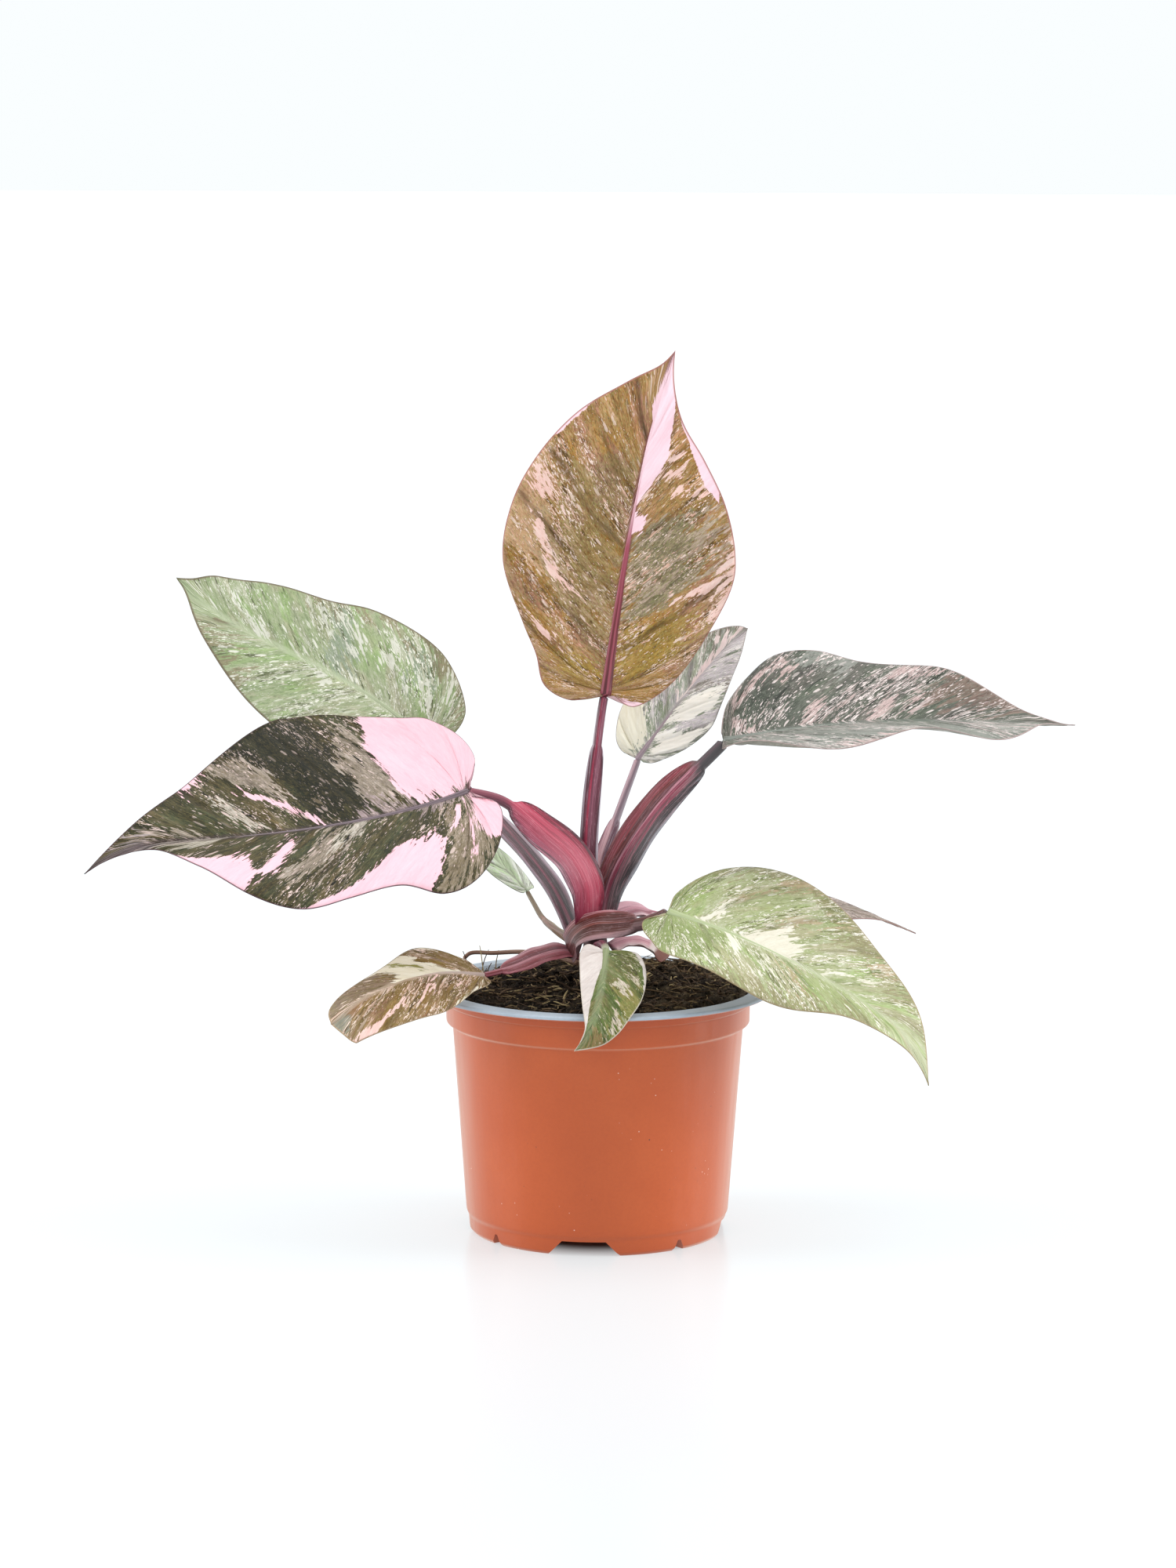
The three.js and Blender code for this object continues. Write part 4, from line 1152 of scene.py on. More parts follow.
def with_marks(finish, fields, look, colour, free):
    """Adds the grain, the shade, the streaks and flecks, and the short dashes."""
    code, share = look["grain"]
    colour = finish.lay_where(colour, code, finish.rise(fields.grain, 0.46, 0.62, 0.0, share), free)
    code, share = look["shade"]
    shade = finish.rise(fields.field(2.4, 0.9, 2, 0.7, 5.3), 0.50, 0.66, 0.0, share)
    colour = finish.lay_where(colour, code, shade, free)

    crowd = fields.field(0.11, 0.05, 2, 0.5, 11.3)
    for code, across, along, low, high, more, soft in look["flecks"]:
        spots = fields.field(across, along, 3, 0.6, more, 0.3)
        limit = finish.rise(crowd, 0.38, 0.62, high, low)
        mask = finish.rise(finish.calc("SUBTRACT", spots, limit), 0.0, soft)
        colour = finish.lay_where(colour, code, mask, free)

    for across, along, more in ((0.34, 0.12, 2.7), (0.80, 0.30, 6.1)):
        cell = fields.cells(across, along, more)
        cell = finish.calc("MULTIPLY_ADD", finish.centred(fields.small), 0.30, cell)
        dash = finish.rise(cell, 0.15, 0.21, look.get("dash", 0.8), 0.0)
        cloud = finish.rise(fields.field(0.12, 0.06, 2, 0.5, more + 26), 0.40, 0.58)
        mask = finish.calc("MULTIPLY", dash, cloud)
        colour = finish.lay_where(colour, look["flecks"][-1][0], mask, free)
    return colour


def blade_finish(name, look, under=False):
    """Marbled leaf skin: ground, sectors with torn edges, flecks and grain, all drawn along the veins, and
    painted shade in the creases over them.
    """
    finish = Finish(name, roughness=0.55 if under else look.get("roughness", 0.42),
                    specular=look.get("specular", 0.25))
    fields = LeafFields(finish, look)
    edge_mm, rib_mm, phase = finish.split(finish.kept("edge"))[:3]
    colour, free = ground_and_zones(finish, fields, look)
    colour = with_marks(finish, fields, look, colour, free)

    from_vein = finish.calc("ABSOLUTE", finish.centred(finish.calc("FRACT", phase)))
    # Painted shade: the creases over the veins are painted darker, more in some places than in others.
    crease_shade_strength = finish.rise(fields.field(0.2, 0.06, 2, 0.5, 17.1), 0.42, 0.60, 0.0, look.get("crease", 0.45))
    crease = finish.calc("MULTIPLY", finish.rise(from_vein, 0.0, 0.17, 1.0, 0.0), crease_shade_strength)
    colour = finish.mix(finish.calc("MULTIPLY", crease, free), colour, CREASE_SHADE, "MULTIPLY")
    code, share = look["veins"]
    colour = finish.lay_where(colour, code, finish.rise(from_vein, 0.015, 0.06, share, 0.0), free)
    code, share = look["beside"]
    from_rib = finish.calc("MULTIPLY_ADD", finish.centred(fields.small), 2.0, rib_mm)
    colour = finish.lay_where(colour, code, finish.rise(from_rib, 0.9, 2.0, share, 0.0), free)
    code, width = look["margin"]
    colour = finish.lay(colour, code, edge_mm, width * 0.6, width * 1.5, 0.85, 0.0)
    if under:
        code, share = look["under"]
        colour = finish.mix(share, colour, code)

    ridges = finish.calc("MULTIPLY_ADD", fields.small, 0.6, finish.calc("MULTIPLY", fields.grain, 0.35))
    ridges = finish.calc("ADD", ridges, finish.rise(from_vein, 0.0, 0.10, -0.8, 0.0))
    finish.bump(ridges, 0.26, 0.7)
    return finish.colour(colour)


def make_blade(leaf, look):
    """The blade's sheet given its thickness, with the midrib sunk in it."""
    name = leaf["name"]
    sheet, midrib = blade_sheet(leaf, look["zones"])
    smooth(sheet)
    upper = blade_finish(f"{name}_upper_side", look)
    lower = blade_finish(f"{name}_under_side", look, under=True)
    rib = rib_finish(f"{name}_midrib", look)
    for material in (upper, lower, rib):
        sheet.data.materials.append(material)
    apply(
        sheet, "SOLIDIFY", thickness=BLADE["thickness"] * MM, offset=0.0, material_offset=1,
        vertex_group="fullness")
    tube = midrib_tube(f"{name}_rib", midrib, look, leaf["petiole"]["stalk"][1])
    tube.data.materials.append(rib)
    hand_over(join([sheet, tube]), f"blade_{name}")


def make_stalk(name, shape, look):
    """One stalk or remnant. Its piece is named for its node."""
    hand_over(stalk_mesh(f"{name}_skin", shape), name, [stalk_finish(f"{name}_finish", look)])


# ---- the leaves -----------------------------------------------------------------------------------

# Each leaf. Its petiole has a route of points, the way that its open face looks, the stalk's radius at
# its foot and its top, and its sheath: half its width, how far its wings rise, the share of the length
# where it has closed, and how wide it is at its foot. The midrib is four points a third of its length
# apart, which the hook bends at the tip, and `face` is the way that the blade looks at its base and at
# its tip. Each half's outline gives points along and out from the midrib in shares of its length, its
# fold at the base and the tip and its curl are in degrees, and its wave is a height in mm, a count
# along the margin and a phase. `rows` is the number of swellings between veins along the margin.
LEAVES = [{
    "name": "top",
    "petiole": {
        "route": [(-2.5, 1, 112.5), (-3.5, 0, 125.5), (-3, -1, 144.5), (-1.5, 0, 161), (0, 0, 174.5),
                  (1.7, 0.4, 185.5)],
        "face": (0.1, -1, 0.1), "stalk": (2, 1.5), "sheath": {"half": 3.2, "rise": 1.4, "end": 0.76},
    },
    "midrib": [(2, 0, 186), (7.5, 7, 224), (14.5, 13, 262), (25, 22, 299.5)], "hook": (0.6, 0, 3.2),
    "face": [(0.05, -1, 0.15), (-0.25, -1, 0.3)],
    "left": {
        "fold": (14, 10), "curl": -10, "wave": (1, 3, 0),
        "outline": [(0, 0.03), (-0.03, 0.1), (0, 0.18), (0.09, 0.215), (0.18, 0.265), (0.34, 0.341),
                    (0.5, 0.346), (0.64, 0.305), (0.79, 0.216), (0.9, 0.108), (0.96, 0.03)],
    },
    "right": {
        "fold": (14, 10), "curl": -10, "wave": (1, 3, 0.4),
        "outline": [(0, 0.03), (-0.02, 0.09), (0.05, 0.175), (0.17, 0.245), (0.35, 0.31), (0.47, 0.31),
                    (0.61, 0.26), (0.73, 0.175), (0.83, 0.083), (0.93, 0.025)],
    },
}, {
    "name": "big_left",
    "petiole": {
        "route": [(-4.5, -5, 103), (-4, -7, 113), (-4.6, -9, 121.4), (-9.2, -10, 130.8), (-20, -12, 141),
                  (-33, -11, 151), (-43.8, -10, 153.8)],
        "face": (0.4, -0.8, 0.45), "stalk": (2.4, 1.6),
        "sheath": {"half": 7.5, "rise": 1.6, "end": 0.78, "foot": 0.6},
    },
    "midrib": [(-44.5, -10, 154), (-86, -18, 144), (-129, -24, 139.5), (-171, -26, 137)],
    "hook": (-3.5, 3, -10), "face": [(0, -0.58, 0.81), (0, -0.58, 0.81)],
    "left": {
        "fold": (10, 10), "curl": -14, "wave": (1.4, 3, 0.1),
        "outline": [(0, 0.03), (-0.05, 0.1), (-0.02, 0.2), (0.07, 0.3), (0.16, 0.33), (0.25, 0.28),
                    (0.37, 0.28), (0.49, 0.285), (0.61, 0.225), (0.72, 0.115), (0.82, 0.02),
                    (0.92, 0.006)],
    },
    "right": {
        "fold": (10, 10), "curl": -10, "wave": (1.2, 3, 0.5),
        "outline": [(0, 0.03), (-0.05, 0.09), (-0.04, 0.18), (0.02, 0.26), (0.1, 0.29), (0.2, 0.335),
                    (0.31, 0.38), (0.41, 0.38), (0.5, 0.36), (0.66, 0.26), (0.78, 0.155), (0.89, 0.06)],
    },
}, {
    "name": "long_right",
    "petiole": {
        "route": [(2.5, 1, 102), (3, 1, 111), (5, 1, 120), (8.7, 1, 128.5), (15, 2, 139), (22.5, 3, 149),
                  (31, 4, 157.5), (38, 5, 164.2), (42.6, 6, 168.8)],
        "face": (-0.5, -0.75, 0.45), "stalk": (2.4, 2),
        "sheath": {"half": 7.4, "rise": 2, "end": 0.86, "foot": 0.55},
    },
    "midrib": [(43, 6, 169.5), (84, 10, 175), (125, 14, 175.5), (165, 18, 174)],
    "face": [(0, -0.28, 0.96), (0, -0.28, 0.96)],
    "left": {
        "fold": (16, 14), "curl": -6, "wave": (1, 3, 0.2),
        "outline": [(0, 0.03), (0.02, 0.1), (0.05, 0.18), (0.11, 0.27), (0.2, 0.35), (0.31, 0.355),
                    (0.42, 0.31), (0.55, 0.28), (0.66, 0.245), (0.78, 0.15), (0.88, 0.055),
                    (0.95, 0.012)],
    },
    "right": {
        "fold": (16, 14), "curl": 0, "wave": (2.6, 2.5, 0.85),
        "outline": [(0, 0.03), (-0.01, 0.1), (0.1, 0.24), (0.25, 0.3), (0.4, 0.28), (0.55, 0.22),
                    (0.7, 0.2), (0.8, 0.14), (0.9, 0.045), (0.95, 0.012)],
    },
}, {
    "name": "small_behind", "rows": 14,
    "petiole": {
        "route": [(1, 6, 105), (0.5, 8, 118.5), (1.5, 11, 128), (4, 14, 135.5), (6.5, 17, 142),
                  (9.5, 20, 150), (13.4, 24, 160.4)],
        "face": (-0.3, -0.9, 0.3), "stalk": (1.8, 1.2), "sheath": {"half": 2.9, "rise": 1, "end": 0.62},
    },
    "midrib": [(13.5, 24, 161), (26, 30, 177.5), (38.5, 36, 192.5), (52, 40, 205)],
    "face": [(0.1, -0.9, 0.45), (0.1, -0.9, 0.45)],
    "left": {
        "fold": (12, 10), "curl": -10, "wave": (0.6, 2, 0),
        "outline": [(0, 0.04), (-0.02, 0.1), (0.03, 0.18), (0.18, 0.25), (0.4, 0.26), (0.65, 0.19),
                    (0.86, 0.11), (0.96, 0.05)],
    },
    "right": {
        "fold": (12, 10), "curl": -10, "wave": (0.6, 2, 0.5),
        "outline": [(0, 0.04), (0.04, 0.1), (0.2, 0.2), (0.36, 0.24), (0.5, 0.21), (0.7, 0.15),
                    (0.86, 0.09)],
    },
}, {
    "name": "upper_left",
    "petiole": {
        "route": [(-8.5, 3, 101.5), (-11.5, 5, 109), (-16, 9, 117.5), (-23.5, 14, 127), (-34, 20, 137.5),
                  (-46.5, 26, 150), (-59.4, 30, 164.4)],
        "face": (0.6, -0.3, 0.75), "stalk": (2.2, 1.7),
        "sheath": {"half": 6.7, "rise": 1.6, "end": 0.72, "foot": 0.75},
    },
    "midrib": [(-60, 30, 165), (-89, 38, 186), (-120, 44, 201), (-148, 50, 218)], "hook": (-1, 0, 3),
    "face": [(0.15, -0.85, 0.5), (0.2, -0.8, 0.6)],
    "left": {
        "fold": (10, 8), "curl": -8, "wave": (0.9, 2.5, 0.2),
        "outline": [(0, 0.03), (-0.05, 0.1), (0.02, 0.22), (0.15, 0.3), (0.3, 0.31), (0.48, 0.27),
                    (0.64, 0.21), (0.82, 0.11), (0.94, 0.02)],
    },
    "right": {
        "fold": (10, 8), "curl": -8, "wave": (0.9, 2.5, 0.6),
        "outline": [(0, 0.03), (-0.03, 0.09), (0, 0.17), (0.1, 0.24), (0.2, 0.27), (0.38, 0.27),
                    (0.52, 0.225), (0.69, 0.195), (0.8, 0.165), (0.92, 0.11), (0.97, 0.04)],
    },
}, {
    "name": "lower_right",
    "petiole": {
        "route": [(-9.5, -8, 98.5), (-7, -11.5, 104.5), (-1.5, -14.5, 107.8), (6, -17.5, 108.8),
                  (15, -22, 110.6), (22.7, -25.6, 114.3)],
        "face": (-0.2, -0.6, 0.75), "stalk": (2.6, 2.2), "sheath": {"half": 6.6, "rise": 1.8, "end": 0.7},
    },
    "midrib": [(23.5, -26, 115), (53.5, -34, 105.5), (85, -40, 89.5), (112, -43, 70)],
    "hook": (-0.5, 1, -11), "face": [(0.35, -0.5, 0.8), (0.6, -0.5, 0.6)],
    "left": {
        "fold": (8, 8), "curl": -10, "wave": (0.9, 2.5, 0.1),
        "outline": [(0, 0.03), (0, 0.1), (0.08, 0.26), (0.18, 0.345), (0.3, 0.37), (0.44, 0.35),
                    (0.57, 0.305), (0.69, 0.235), (0.81, 0.155), (0.91, 0.08)],
    },
    "right": {
        "fold": (8, 4), "curl": -8, "wave": (1.2, 2.5, 0.4),
        "outline": [(0, 0.03), (-0.05, 0.07), (-0.04, 0.12), (0.01, 0.17), (0.07, 0.215), (0.18, 0.235),
                    (0.37, 0.24), (0.52, 0.215), (0.68, 0.13), (0.8, 0.08), (0.92, 0.02)],
    },
}, {
    "name": "far_right", "rows": 12,
    "petiole": {
        "route": [(4, 6, 102.5), (7.5, 12, 107.3), (13, 16.5, 108.6), (18.5, 21, 106.4),
                  (26, 27.5, 104.4), (38.5, 39.5, 107.6)],
        "face": (0, -0.5, 0.85), "stalk": (1.9, 1.4), "sheath": {"half": 4.6, "rise": 2, "end": 0.42},
    },
    "midrib": [(39, 40, 108), (63, 48, 107), (88.5, 54, 103), (113.5, 58, 93.5)],
    "face": [(0, -0.12, 1), (0.1, -0.08, 1)],
    "left": {
        "fold": (4, 0), "curl": -10, "wave": (0.6, 2, 0),
        "outline": [(0, 0.04), (-0.03, 0.12), (0.08, 0.25), (0.3, 0.3), (0.55, 0.22), (0.8, 0.09)],
    },
    "right": {
        "fold": (4, 0), "curl": -10, "wave": (0.6, 2, 0.5),
        "outline": [(0, 0.04), (-0.03, 0.12), (0.08, 0.24), (0.3, 0.28), (0.55, 0.2), (0.8, 0.07)],
    },
}, {
    "name": "lower_left", "rows": 14,
    "petiole": {
        "route": [(-7, -5, 97), (-13.5, -12, 99), (-20.5, -19, 98.5), (-27.5, -25, 96.5),
                  (-33.5, -28, 95), (-38.4, -29.6, 94.1)],
        "face": (0.1, -0.5, 0.85), "stalk": (1.4, 1), "sheath": {"half": 4.4, "rise": 1, "end": 0.84},
    },
    "midrib": [(-39, -30, 94), (-55, -38, 96), (-70.5, -46, 93), (-89.5, -50, 82.5)], "hook": (0, 1, -2),
    "face": [(-0.2, -0.5, 0.85), (-0.4, -0.5, 0.7)],
    "left": {
        "fold": (-12, -10), "curl": -10, "wave": (0.5, 2, 0),
        "outline": [(0, 0.03), (-0.04, 0.04), (0, 0.09), (0.11, 0.15), (0.25, 0.23), (0.43, 0.29),
                    (0.6, 0.3), (0.76, 0.28), (0.93, 0.225), (0.965, 0.2), (0.985, 0.1)],
    },
    "right": {
        "fold": (4, 0), "curl": -4, "wave": (0.5, 2, 0.5),
        "outline": [(0, 0.04), (0.05, 0.1), (0.12, 0.18), (0.23, 0.25), (0.35, 0.27), (0.58, 0.2),
                    (0.8, 0.15), (0.94, 0.125), (0.99, 0.09)],
    },
}, {
    "name": "front", "rows": 12,
    "petiole": {
        "route": [(0, -6, 97), (0.5, -14, 101), (1, -26, 104.2), (2.3, -40, 105.4)], "face": (0, -0.1, 1),
        "stalk": (1.7, 1.3), "sheath": {"half": 2.6, "rise": 0.8, "end": 0.5},
    },
    "midrib": [(2.5, -42, 104.5), (1, -54, 95.5), (-1.5, -62, 85.5), (-6, -65, 77)], "hook": (-2, 0, -2),
    "face": [(0, -0.7, 0.7), (0.1, -0.95, 0.3)],
    "left": {
        "fold": (4, 6), "curl": -14, "wave": (0.3, 2, 0),
        "outline": [(0, 0.05), (-0.02, 0.14), (0, 0.26), (0.1, 0.33), (0.25, 0.355), (0.42, 0.34),
                    (0.57, 0.285), (0.72, 0.23), (0.84, 0.165), (0.93, 0.08)],
    },
    "right": {
        "fold": (4, 6), "curl": -14, "wave": (0.3, 2, 0.5),
        "outline": [(0, 0.05), (-0.08, 0.12), (-0.07, 0.18), (0.04, 0.21), (0.16, 0.2), (0.36, 0.17),
                    (0.6, 0.11), (0.8, 0.04)],
    },
}, {
    "name": "tiny_back", "rows": 10,
    "petiole": {
        "route": [(-8, 6, 98.5), (-14.5, 14, 102), (-19.5, 22, 105), (-22.5, 30, 108.5),
                  (-24.8, 33.8, 112)],
        "face": (0.6, -0.4, 0.7), "stalk": (1.2, 0.8), "sheath": {"half": 2.8, "rise": 0.8, "end": 0.52},
    },
    "midrib": [(-25, 34, 112.5), (-34, 38, 120.5), (-43.5, 41, 129), (-53, 43, 136.5)],
    "face": [(0.3, -0.7, 0.6), (0.3, -0.7, 0.6)],
    "left": {
        "fold": (8, 8), "curl": -8, "wave": (0.2, 2, 0),
        "outline": [(0, 0.05), (0.04, 0.08), (0.2, 0.13), (0.45, 0.15), (0.7, 0.1), (0.88, 0.04)],
    },
    "right": {
        "fold": (8, 8), "curl": -8, "wave": (0.2, 2, 0.5),
        "outline": [(0, 0.05), (-0.01, 0.08), (0.1, 0.11), (0.3, 0.13), (0.5, 0.12), (0.7, 0.09),
                    (0.88, 0.03)],
    },
}]

# What is left of earlier leaves, in the same terms as a petiole.
REMNANTS = {
    "old_sheath": {
        "route": [(4.5, -1, 98.5), (10, 2, 100), (16, 3, 99.4), (20, 3, 97), (23, 2, 93.5)],
        "face": (0.1, -0.3, 1), "stalk": (1.2, 0.8), "sheath": {"half": 3.4, "rise": 0.8, "end": 1.3},
    },
    "dry_stalk": {
        "route": [(-6.5, 5, 92), (-17, 15, 93), (-27, 24, 92.5), (-37, 30, 91), (-45, 32, 90.5),
                  (-47.5, 31, 88.5)],
        "face": (0, 0, 1), "stalk": (0.9, 0.7), "sheath": {"half": 1, "rise": 0, "end": 0.1},
    },
}

PINK = "ECB4C0 F0C0CB F3CAD3"
PALE_PINK = "F1C4CF F4CDD7 F6D6DE"

# `crease` is how strong the painted shade in the creases over the veins is.
# Each blade's finish. `ground` runs from its darkest tone to its palest, and `tints` colour clouds of
# it. `shift` sets the blade's own noise, `draw` how fine its marks are along the veins, and `dash` how
# strong its short dashes are. `grain`, `shade`, `veins`, `beside` (along the rib) and `under` are a tone
# and its strength, and `margin` a tone and its width in mm.
# A zone is a sector of other tones. It has patches in the right and the left half, each a list of
# stations (share out to the margin, first vein, last vein). `torn` is how ragged its edge is, `draw` how
# far its ends are torn, `share` how strong it is, and `plain` how far it goes without flecks.
BLADE_LOOKS = {
    "top": {
        "slot": "leaf_bronze", "shift": (3, 9, 0), "draw": 1.05, "dash": 0.6,
        "ground": "5A3E1E 7C582E 986E3E AE8656 C49A76 DAB49E", "tints": ("9A6820", "9E6A5C"),
        "grain": ("A0A060", 0.35), "shade": ("4E3818", 0.5),
        "flecks": marbling("D0A692", "EED4C8", "5A421E", -0.002),
        "zones": [{
            "colour": "A0764E C09876 DCB49E", "torn": 1.2, "share": 0.75,
            "left": [[(0.3, 0.455, 0.475), (0.54, 0.465, 0.52), (0.71, 0.47, 0.6), (0.88, 0.46, 0.66),
                      (1, 0.45, 0.68)]],
        }, {
            "colour": "7C5A42 9C785E BC9882", "torn": 1.3, "share": 0.7,
            "right": [[(0.78, 0.3, 0.44), (0.9, 0.14, 0.56), (1, 0.08, 0.6)]],
            "left": [[(0.86, 0.08, 0.4), (1, 0.05, 0.46)]],
        }, {
            "colour": "52503C 6E6A54 8E8068 B49A84", "torn": 1.2, "share": 0.85,
            "right": [[(0.04, 0.45, 0.66), (0.4, 0.47, 0.66), (0.8, 0.5, 0.64)]],
        }, {
            "colour": "8A7460 AA9282 C4AE9E", "torn": 1.5, "share": 0.75,
            "right": [[(0.06, 0.485, 0.5), (0.5, 0.5, 0.52), (0.8, 0.5, 0.515)],
                      [(0.1, 0.54, 0.56), (0.6, 0.55, 0.58), (0.92, 0.54, 0.6)],
                      [(0.25, 0.615, 0.625), (0.6, 0.605, 0.62), (0.8, 0.6, 0.62)]],
        }, {
            "colour": "5A4014 8A6A22 A28234 A88E4A", "torn": 1.2, "share": 0.75,
            "right": [[(0.04, 0.28, 0.45), (0.55, 0.3, 0.43), (0.8, 0.32, 0.4)]],
            "left": [[(0.1, 0.22, 0.36), (0.6, 0.2, 0.3)]],
        }, {
            "colour": "4C4428 686042 867C5E A4987C", "torn": 1.6, "share": 0.45,
            "left": [[(0.04, 0.34, 0.8), (0.4, 0.42, 0.78), (0.7, 0.5, 0.7)]],
        }, {
            "colour": "D8A498 E8BEB4 EBCFC6", "torn": 0.7, "plain": 0.8,
            "right": [[(0.55, 0.46, 0.475), (0.85, 0.45, 0.475)],
                      [(0.62, 0.704, 0.712), (0.84, 0.672, 0.69)],
                      [(0.5, 0.785, 0.795), (0.8, 0.76, 0.78)], [(0.93, 0.36, 0.5), (1, 0.34, 0.54)],
                      [(0.35, 0.755, 0.765), (0.7, 0.74, 0.76)]],
            "left": [[(0.42, 0.475, 0.485), (0.6, 0.49, 0.515), (0.74, 0.53, 0.56)],
                     [(0.72, 0.6, 0.63), (0.92, 0.6, 0.66)], [(0.6, 0.32, 0.34), (0.78, 0.31, 0.345)]],
        }, {
            "colour": PALE_PINK, "torn": 0.3, "draw": 1.0, "plain": 1,
            "right": [[(0, 0.7, 1), (0.04, 0.71, 1), (0.29, 0.76, 1), (0.5, 0.79, 1), (0.62, 0.83, 1),
                       (1, 0.91, 1)], [(0, 0.65, 0.69), (0.17, 0.65, 0.69)],
                      [(0.3, 0, 0.07), (1, 0, 0.07)]],
            "left": [[(0, 0.87, 1), (0.2, 0.9, 1)]],
        }, {
            "colour": PALE_PINK, "torn": 0.08, "draw": 1.0, "plain": 1,
            "right": [[(0.89, 0.69, 0.76), (0.93, 0.65, 0.82), (0.965, 0.63, 0.86), (1, 0.66, 0.9)]],
            "left": [[(0.968, 0.72, 0.79), (1, 0.7, 0.81)]],
        }],
        "margin": ("A06A62", 0.4), "veins": ("5C4420", 0.22), "crease": 0.7, "beside": ("6E3036", 0.7),
        "rib": [(0, "4A0E16"), (0.28, "6A1824"), (0.46, "983E50"), (0.6, "E8BCC6"), (1, "F0CCD2")],
        "rib_stripe": "B05666", "rib_radius": 2.2, "rib_taper": 1.35, "under": ("8C6A5C", 0.55),
    },
    "big_left": {
        "slot": "leaf_olive", "shift": (21, 4, 0), "specular": 0.18, "draw": 0.75, "dash": 0.7,
        "ground": "1A1B11 282817 383620 4C462E 625942 82765E", "grain": ("6A5E38", 0.4),
        "tints": ("4E3E20", "38402A"), "shade": ("26241A", 0.38),
        "flecks": marbling("7E6E58", "DCC4BC", "15140C", -0.014),
        "zones": [{
            "colour": "0E0F08 15160D 1E1D13 34301F", "torn": 1.0, "share": 0.9, "plain": 0.5,
            "right": [[(0.04, 0.48, 0.6), (0.5, 0.49, 0.62), (1, 0.48, 0.68)]],
        }, {
            "colour": "6C6052 8E8072 AE9F92 CEC0B8", "torn": 1.0, "share": 0.85,
            "right": [[(0.05, 0.41, 0.49), (0.5, 0.42, 0.505), (0.8, 0.41, 0.46)],
                      [(0.42, 0.63, 0.64), (0.6, 0.63, 0.69), (0.83, 0.65, 0.72), (0.93, 0.68, 0.75)],
                      [(0.04, 0.79, 0.82), (0.3, 0.84, 0.88), (0.5, 0.89, 0.93)]],
            "left": [[(0.08, 0.56, 0.59), (0.62, 0.57, 0.62)]],
        }, {
            "colour": "8E8672 BAB0A2 DED4CA", "torn": 1.0, "share": 0.95,
            "right": [[(0.1, 0.7, 0.715), (0.5, 0.74, 0.76)]],
            "left": [[(0, 0.76, 0.87), (0.3, 0.79, 0.9), (0.7, 0.84, 0.92)],
                     [(0, 0.5, 0.53), (0.2, 0.52, 0.56), (0.3, 0.54, 0.56)]],
        }, {
            "colour": "5A4E3A 7E6E58 A29280 CCB8AC", "torn": 1.4, "share": 0.85,
            "left": [[(0.05, 0.16, 0.36), (0.5, 0.2, 0.34), (0.95, 0.16, 0.32)]],
        }, {
            "colour": "7A6A68 A08C8E D0B8BA", "torn": 1.0, "share": 0.75,
            "right": [[(0, 0.34, 0.52), (0.1, 0.37, 0.5)]], "left": [[(0, 0.28, 0.44), (0.07, 0.3, 0.4)]],
        }, {
            "colour": "6E605E 94868A B8AAA8", "torn": 1.0, "share": 0.8,
            "right": [[(0, 0.9, 1.2), (0.7, 0.91, 1.2)]], "left": [[(0, 0.9, 1.2), (1, 0.88, 1.2)]],
        }, {
            "colour": PINK, "torn": 0.55, "plain": 1,
            "right": [[(0.04, 0.03, 0.4), (0.2, 0.02, 0.43), (0.6, 0.02, 0.43), (0.75, 0.02, 0.4),
                       (1, 0.02, 0.35)], [(0.95, 0.73, 0.79), (1, 0.73, 0.79)],
                      [(0.04, 0.585, 0.6), (0.29, 0.64, 0.652), (0.54, 0.7, 0.71)]],
            "left": [[(0.4, 0.37, 0.39), (0.5, 0.34, 0.44), (0.83, 0.33, 0.48), (0.92, 0.33, 0.52),
                      (1, 0.33, 0.56)],
                     [(0.5, 0.71, 0.73), (0.7, 0.68, 0.76), (0.85, 0.66, 0.79), (1, 0.66, 0.84)],
                     [(0.12, 0.635, 0.655), (0.75, 0.645, 0.67)],
                     [(0.05, 0, 0.17), (0.3, 0, 0.22), (0.5, 0, 0.22), (0.8, 0, 0.17), (1, 0, 0.14)],
                     [(0.2, 0.225, 0.24), (0.42, 0.235, 0.26)], [(0.3, 0.27, 0.28), (0.7, 0.255, 0.27)],
                     [(0.12, 0.31, 0.325), (0.38, 0.315, 0.33)]],
        }],
        "margin": ("4E3438", 0.3), "veins": ("5A5242", 0.15), "beside": ("3E2E34", 0.5),
        "rib": "4E3A42 5A4A50 5A4A48", "rib_stripe": "8A7A80", "rib_radius": 1.1,
        "under": ("6E4A50", 0.6),
    },
    "long_right": {
        "slot": "leaf_slate", "shift": (41, 14, 0), "specular": 0.2, "draw": 0.5,
        "ground": "30332B 42463C 52564B 62655A 76766C 96908A", "grain": ("84887A", 0.35),
        "tints": ("5A6450", "706662"), "shade": ("2E3228", 0.45),
        "flecks": marbling("B4A29E", "E0D2CE", "2A2D25", 0.004),
        "zones": [{
            "colour": "2A3028 3C4238 50544A", "torn": 1.2, "share": 0.7,
            "left": [[(0.1, 0.26, 0.46), (0.4, 0.26, 0.44), (0.7, 0.26, 0.34)]],
        }, {
            "colour": "80827A 94968E A6A49E", "torn": 1.2, "share": 0.75,
            "right": [[(0.1, 0.2, 0.95), (1, 0.1, 0.95)]], "left": [[(0.8, 0.36, 0.48), (1, 0.36, 0.48)]],
        }, {
            "colour": "5E4A40 7A5E54 97786C", "torn": 1.2, "share": 0.7,
            "left": [[(0.4, 0.68, 0.84), (0.9, 0.7, 0.9), (1, 0.72, 0.9)]],
        }, {
            "colour": "B09694 C7A9A6 D9C0BC", "torn": 1.0, "share": 0.9,
            "right": [[(0.94, 0.4, 0.55), (1, 0.4, 0.55)]],
            "left": [[(0.05, 0.335, 0.355), (0.67, 0.18, 0.205), (1, 0.17, 0.2)],
                     [(0.4, 0.3, 0.32), (0.72, 0.3, 0.33), (0.9, 0.32, 0.35)],
